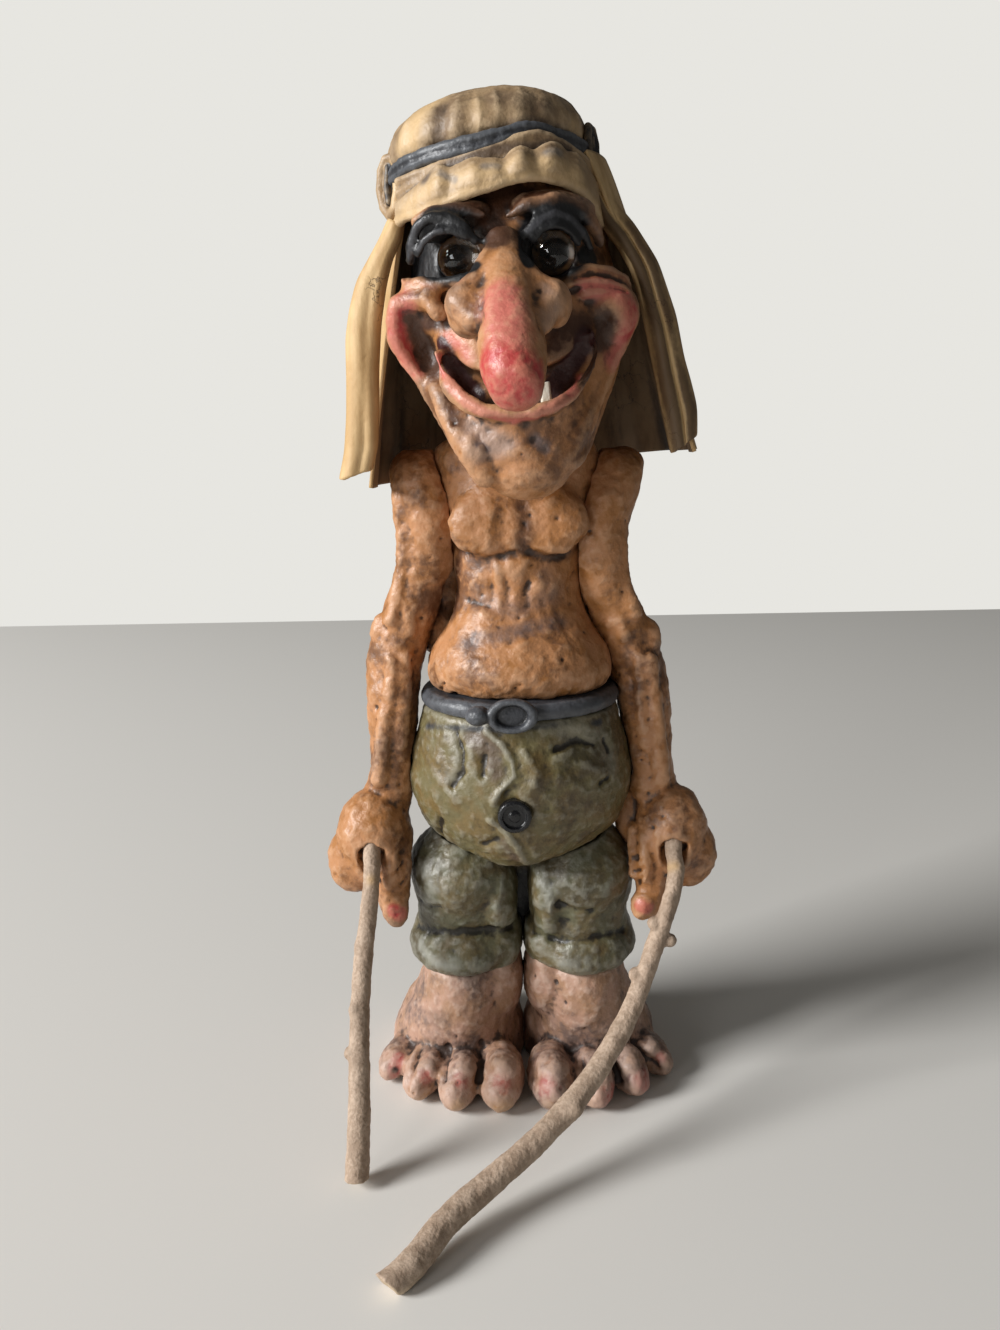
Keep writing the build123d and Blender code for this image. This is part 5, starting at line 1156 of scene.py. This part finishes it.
def hang_sheet(name, part, rows, material, lining):
    """A thin sheet through rows of points in millimetres. The lining faces the head."""
    sheet_bm = bmesh.new()
    grid = [[sheet_bm.verts.new(Vector(point) * MM) for point in row] for row in rows]
    for upper, lower in zip(grid, grid[1:]):
        for index in range(len(upper) - 1):
            sheet_bm.faces.new((upper[index], upper[index + 1], lower[index + 1], lower[index]))
    piece = piece_from(name, sheet_bm)
    smooth = piece.modifiers.new("smooth", "SMOOTH")
    smooth.iterations = 3
    finer = piece.modifiers.new("finer", "SUBSURF")
    finer.levels = 1
    bake(piece)
    wash_and_shade_hollows(piece, 1.2, 0.5)
    wall = piece.modifiers.new("wall", "SOLIDIFY")
    wall.thickness = SHEET_THICKNESS * MM
    wall.offset = 0
    bake(piece)
    finish_piece(piece, part, material)
    # The side that faces the head takes the lining material; on the back sheet it is painted shade.
    piece.data.materials.append(lining)
    for face in piece.data.polygons:
        from_head = face.center - HEAD_MIDDLE * MM
        face.material_index = 1 if face.normal.x * from_head.x + face.normal.y * from_head.y < 0 else 0


# %% Kerchief ends
RIGHT_END_INNER = [
    (403, 224), (400, 240), (391, 260), (385, 287), (380, 325), (378, 368), (378, 407), (377, 447),
    (371, 471)]
RIGHT_END_OUTER = [
    (390, 217), (381, 238), (369, 260), (357, 281), (350, 309), (346, 339), (347, 378), (347, 417),
    (345, 453), (339, 483)]
LEFT_END_INNER = [
    (590, 196), (601, 225), (619, 248), (633, 274), (640, 301), (647, 334), (653, 364), (660, 398),
    (667, 433), (672, 456)]
LEFT_END_OUTER = [
    (600, 180), (612, 200), (633, 224), (657, 262), (675, 315), (683, 358), (689, 378), (696, 406),
    (696, 437)]
RIGHT_END_FOLDS = [
    (0.0, -22.0), (0.07, -24.2), (0.16, -25.6), (0.30, -25.8), (0.42, -25.0), (0.56, -25.4), (0.72, -25.6),
    (0.88, -24.8), (1.0, -23.0)]
LEFT_END_FOLDS = [
    (0.0, -21.5), (0.10, -24.0), (0.24, -26.0), (0.40, -26.8), (0.48, -26.0), (0.53, -24.0), (0.60, -24.2),
    (0.72, -25.2), (0.84, -24.8), (0.93, -23.6), (1.0, -21.5)]
STRIP_ROWS = 40
STRIP_SWAY = 0.5
for side, inner, outer, folds in (("right", RIGHT_END_INNER, RIGHT_END_OUTER, RIGHT_END_FOLDS),
                                  ("left", LEFT_END_INNER, LEFT_END_OUTER, LEFT_END_FOLDS)):
    strip = []
    for row in range(STRIP_ROWS + 1):
        share = row / STRIP_ROWS
        near, far = along(inner, share), along(outer, share)
        sway = STRIP_SWAY * math.sin(7.0 * share + 1.0)
        strip.append([at_depth(near + (far - near) * part, depth + sway * math.sin(9.0 * part + 5.0 * share))
                      for part, depth in folds])
    hang_sheet(side + "_kerchief_end", side + "_lappet", strip, lappet_skin, lappet_skin)

# %% Kerchief back
CAP_MIDDLE = -5.0
CAP_HALF_WIDTH, CAP_HALF_DEPTH = 28.5, 32.0
HEAD_PIVOT = Vector((3.0, 0.0, 213.5))
HEAD_TURN = Euler((0, math.radians(-5.5), 0)).to_matrix() @ Euler((0, 0, math.radians(-3.5))).to_matrix()
CLOTH_TOP, CLOTH_BOTTOM = 61.3, -18.5
CLOTH_FLARE = 0.85
TOP_FRONT_ANGLE = 50.0
BOTTOM_PLAN = [(44.5, -20.5), (47.5, -10), (47, 2), (42, 15), (33, 24.5), (18, 31), (0, 33.5)]
CLOTH_FOLDS, CLOTH_FOLD_HEIGHT, CLOTH_FOLD_SWAY = 9, 1.3, 1.5
CLOTH_ROWS, CLOTH_COLUMNS = 40, 120
half_plan = [Vector((x, y)) for x, y in BOTTOM_PLAN]
bottom_plan = half_plan + [Vector((-point.x, point.y)) for point in reversed(half_plan[:-1])]
cloth_rows = []
for row in range(CLOTH_ROWS + 1):
    drop = row / CLOTH_ROWS
    line = []
    for column in range(CLOTH_COLUMNS + 1):
        share = column / CLOTH_COLUMNS
        angle = math.radians(TOP_FRONT_ANGLE + (360 - 2 * TOP_FRONT_ANGLE) * share)
        top = Vector((CAP_HALF_WIDTH * math.sin(angle), CAP_MIDDLE - CAP_HALF_DEPTH * math.cos(angle)))
        low = Vector(along(bottom_plan, share))
        spread_out = drop ** CLOTH_FLARE
        place = top * (1 - spread_out) + low * spread_out
        outwards = Vector((place.x, place.y - CAP_MIDDLE)).normalized()
        wave = math.sin(2 * math.pi * CLOTH_FOLDS * share + CLOTH_FOLD_SWAY * drop)
        place = place + outwards * (CLOTH_FOLD_HEIGHT * drop * wave)
        height = CLOTH_TOP + (CLOTH_BOTTOM - CLOTH_TOP) * drop
        line.append(HEAD_PIVOT + HEAD_TURN @ Vector((place.x, place.y, height)))
    cloth_rows.append(line)
hang_sheet("kerchief_back", "neck_cloth", cloth_rows, lappet_skin, shaded_lining_skin)

# %% [markdown]
# ## Sticks
# Two real twigs. The bark is grey-brown with fine pores, the buds are scars, and the cut ends are pale.

# %% Sticks
TWIG_BASE, TWIG_STREAK, TWIG_BLOTCH = (0.33, 0.235, 0.165), (0.46, 0.345, 0.255), (0.22, 0.15, 0.10)
TWIG_HOLLOW_DARK, TWIG_RING, TWIG_CUT = (0.07, 0.042, 0.026), (0.48, 0.31, 0.15), (0.50, 0.39, 0.26)


def twig_bark():
    material, tree, shader = new_material("twig_bark")
    streaks = noise_of(tree, 300, 5, (1.0, 1.0, 0.25))
    grain = noise_of(tree, 1100, 4)
    blotches = noise_of(tree, 90, 4)
    hollow = varied(tree, layer_of(tree, "hollow"), (grain, 0.5), (streaks, 0.3))
    streaked = between(tree, varied(tree, streaks, (grain, 0.8)), 0.34, 0.66)
    colour = coat_of(tree, streaked, TWIG_BASE, TWIG_STREAK)
    colour = thin_coat(tree, between(tree, blotches, 0.52, 0.7), 0.4, colour, TWIG_BLOTCH)
    # Darker in the hollows: the bark's furrows, and painted shade in the broad hollows.
    colour = coat_of(tree, between(tree, hollow, 0.56, 0.95), colour, TWIG_HOLLOW_DARK)
    colour = coat_of(tree, layer_of(tree, "ring"), colour, TWIG_RING)
    colour = coat_of(tree, layer_of(tree, "cut"), colour, TWIG_CUT)
    bumps = bump_of(tree, varied(tree, grain, (streaks, 1.2)), 0.5, 0.6)
    fill(tree, shader, {"Base Color": colour, "Roughness": 0.72, "Normal": bumps})
    return material


bark = twig_bark()
TWIG_SCARS = {
    "right": [((352, 1010), 1.8, 0.9), ((356, 945), 1.4, 0.4)],
    "left": [((652, 898), 1.8, 1.4), ((673, 930), 2.0, 1.2), ((646, 968), 1.8, 1.0),
        ((577, 1110), 2.6, 1.4), ((612, 1040), 2.0, 0.5)]}
TWIG_RINGS = {"right": [(371, 880)], "left": [(667, 865), (668, 868)]}
UP_THE_TWIG = np.array([0.0, 0.6, 0.8])
CUT_REACH, RING_WIDTH, RING_STRENGTH = 7.0, 1.6, 0.8
for side in SIDES:
    stick = knead(side + "_twig", merged_copy(side + "_stick"), voxel=0.42, rounds=3)
    swell(stick, *TWIG_SCARS[side])
    rough_up(stick, 5.0, 0.35)
    rough_up(stick, 1.4, 0.12)
    set_on_table(stick)
    wash_and_shade_hollows(stick, 1.4, 0.5)
    places, normals = points_of(stick)
    tip = places[places[:, 1].argmin()]
    facing = np.clip(-normals @ UP_THE_TWIG * 2 - 0.6, 0, 1)
    paint_layer(stick, "cut", closeness(places, [tip], CUT_REACH) * facing)
    ring = closeness(places, touch(stick, TWIG_RINGS[side]), RING_WIDTH)
    paint_layer(stick, "ring", ring * RING_STRENGTH)
    finish_piece(stick, side + "_stick", bark)

# %% [markdown]
# ## Eyes, tooth, button and dowels
# The eyes are clear glass domes over a black disc with a thin brown ring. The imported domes, discs and
# dowels are already the right shape, so they only get their materials. The tooth and the button are kneaded
# to soften them.

# %% Eyes
GLASS_TINT = (0.86, 0.80, 0.74, 1)
GLASS_IOR = 1.5
IRIS_BLACK, IRIS_BROWN = (0.004, 0.003, 0.003), (0.13, 0.060, 0.014)
RING_INSIDE, RING_OUTSIDE = (3.7 * MM, 4.2 * MM), (5.1 * MM, 4.6 * MM)


def eye_glass():
    material, tree, shader = new_material("eye_glass")
    polish = spread(tree, noise_of(tree, 500, 3), 0.01, 0.05)
    fill(tree, shader, {"Base Color": GLASS_TINT, "Roughness": polish})
    fill(tree, shader, {"IOR": GLASS_IOR, "Transmission Weight": 1.0})
    return material


def painted_iris(centre):
    """A black disc with a thin brown ring round its middle."""
    material, tree, shader = new_material("painted_iris")
    place = node_of(tree, "TexCoord", "Object", {})
    reach = node_of(tree, "VectorMath", "Value", {0: place, 1: centre}, operation="DISTANCE")
    ring = combine(tree, "MULTIPLY", between(tree, reach, *RING_INSIDE), between(tree, reach, *RING_OUTSIDE))
    ring = combine(tree, "MULTIPLY", ring, between(tree, noise_of(tree, 700, 3), 0.25, 0.6))
    fill(tree, shader, {"Base Color": coat_of(tree, ring, IRIS_BLACK, IRIS_BROWN), "Roughness": 0.25})
    return material


clear_glass = eye_glass()
for side in SIDES:
    glass = nodes[side + "_eye_glass"]
    give_material(glass, clear_glass)
    glass.data.shade_smooth()
    low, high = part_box(side + "_eye_glass")
    give_material(nodes[side + "_eye_iris"], painted_iris((Vector(low) + Vector(high)) / 2))

# %% Tooth, button and dowels
tooth_enamel = painted_latex(
    "tooth_enamel", (0.66, 0.62, 0.52), (0.58, 0.52, 0.40), (0.36, 0.29, 0.18), (0.16, 0.10, 0.06),
    (0.74, 0.71, 0.62), [], stain_amount=0.5, dry_brush_and_highlight_amount=0.3, roughness=0.35)
button_gloss = painted_latex(
    "button_gloss", (0.006, 0.006, 0.007), (0.010, 0.010, 0.011), (0.004, 0.004, 0.004),
    (0.002, 0.002, 0.002), (0.030, 0.030, 0.032), [], stain_amount=0.5, dry_brush_and_highlight_amount=0.3, roughness=0.22)
TOOTH_STRETCH = 0.35
SMALL_ROUGHNESS = [(1.6, 0.07)]
tooth = knead("tooth_piece", merged_copy("tooth"), voxel=0.16, rounds=3)
places, _ = points_of(tooth)
places[:, 2] += TOOTH_STRETCH * (places[:, 2] - places[:, 2].min())
move_points(tooth, places)
dress(tooth, "tooth", tooth_enamel, rough=SMALL_ROUGHNESS)
button = knead("fly_button_piece", merged_copy("fly_button"), voxel=0.22, rounds=3)
dress(button, "fly_button", button_gloss, rough=SMALL_ROUGHNESS)


def turned_beech():
    material, tree, shader = new_material("turned_beech")
    flecks = noise_of(tree, 900, 4, (1.0, 1.0, 0.2))
    colour = coat_of(tree, between(tree, flecks, 0.35, 0.65), (0.56, 0.39, 0.22), (0.64, 0.47, 0.29))
    fill(tree, shader, {"Base Color": colour, "Roughness": 0.6})
    return material


beech = turned_beech()
for name, node in nodes.items():
    if name.endswith("_dowel"):
        give_material(node, beech)
print("materials", len(bpy.data.materials))
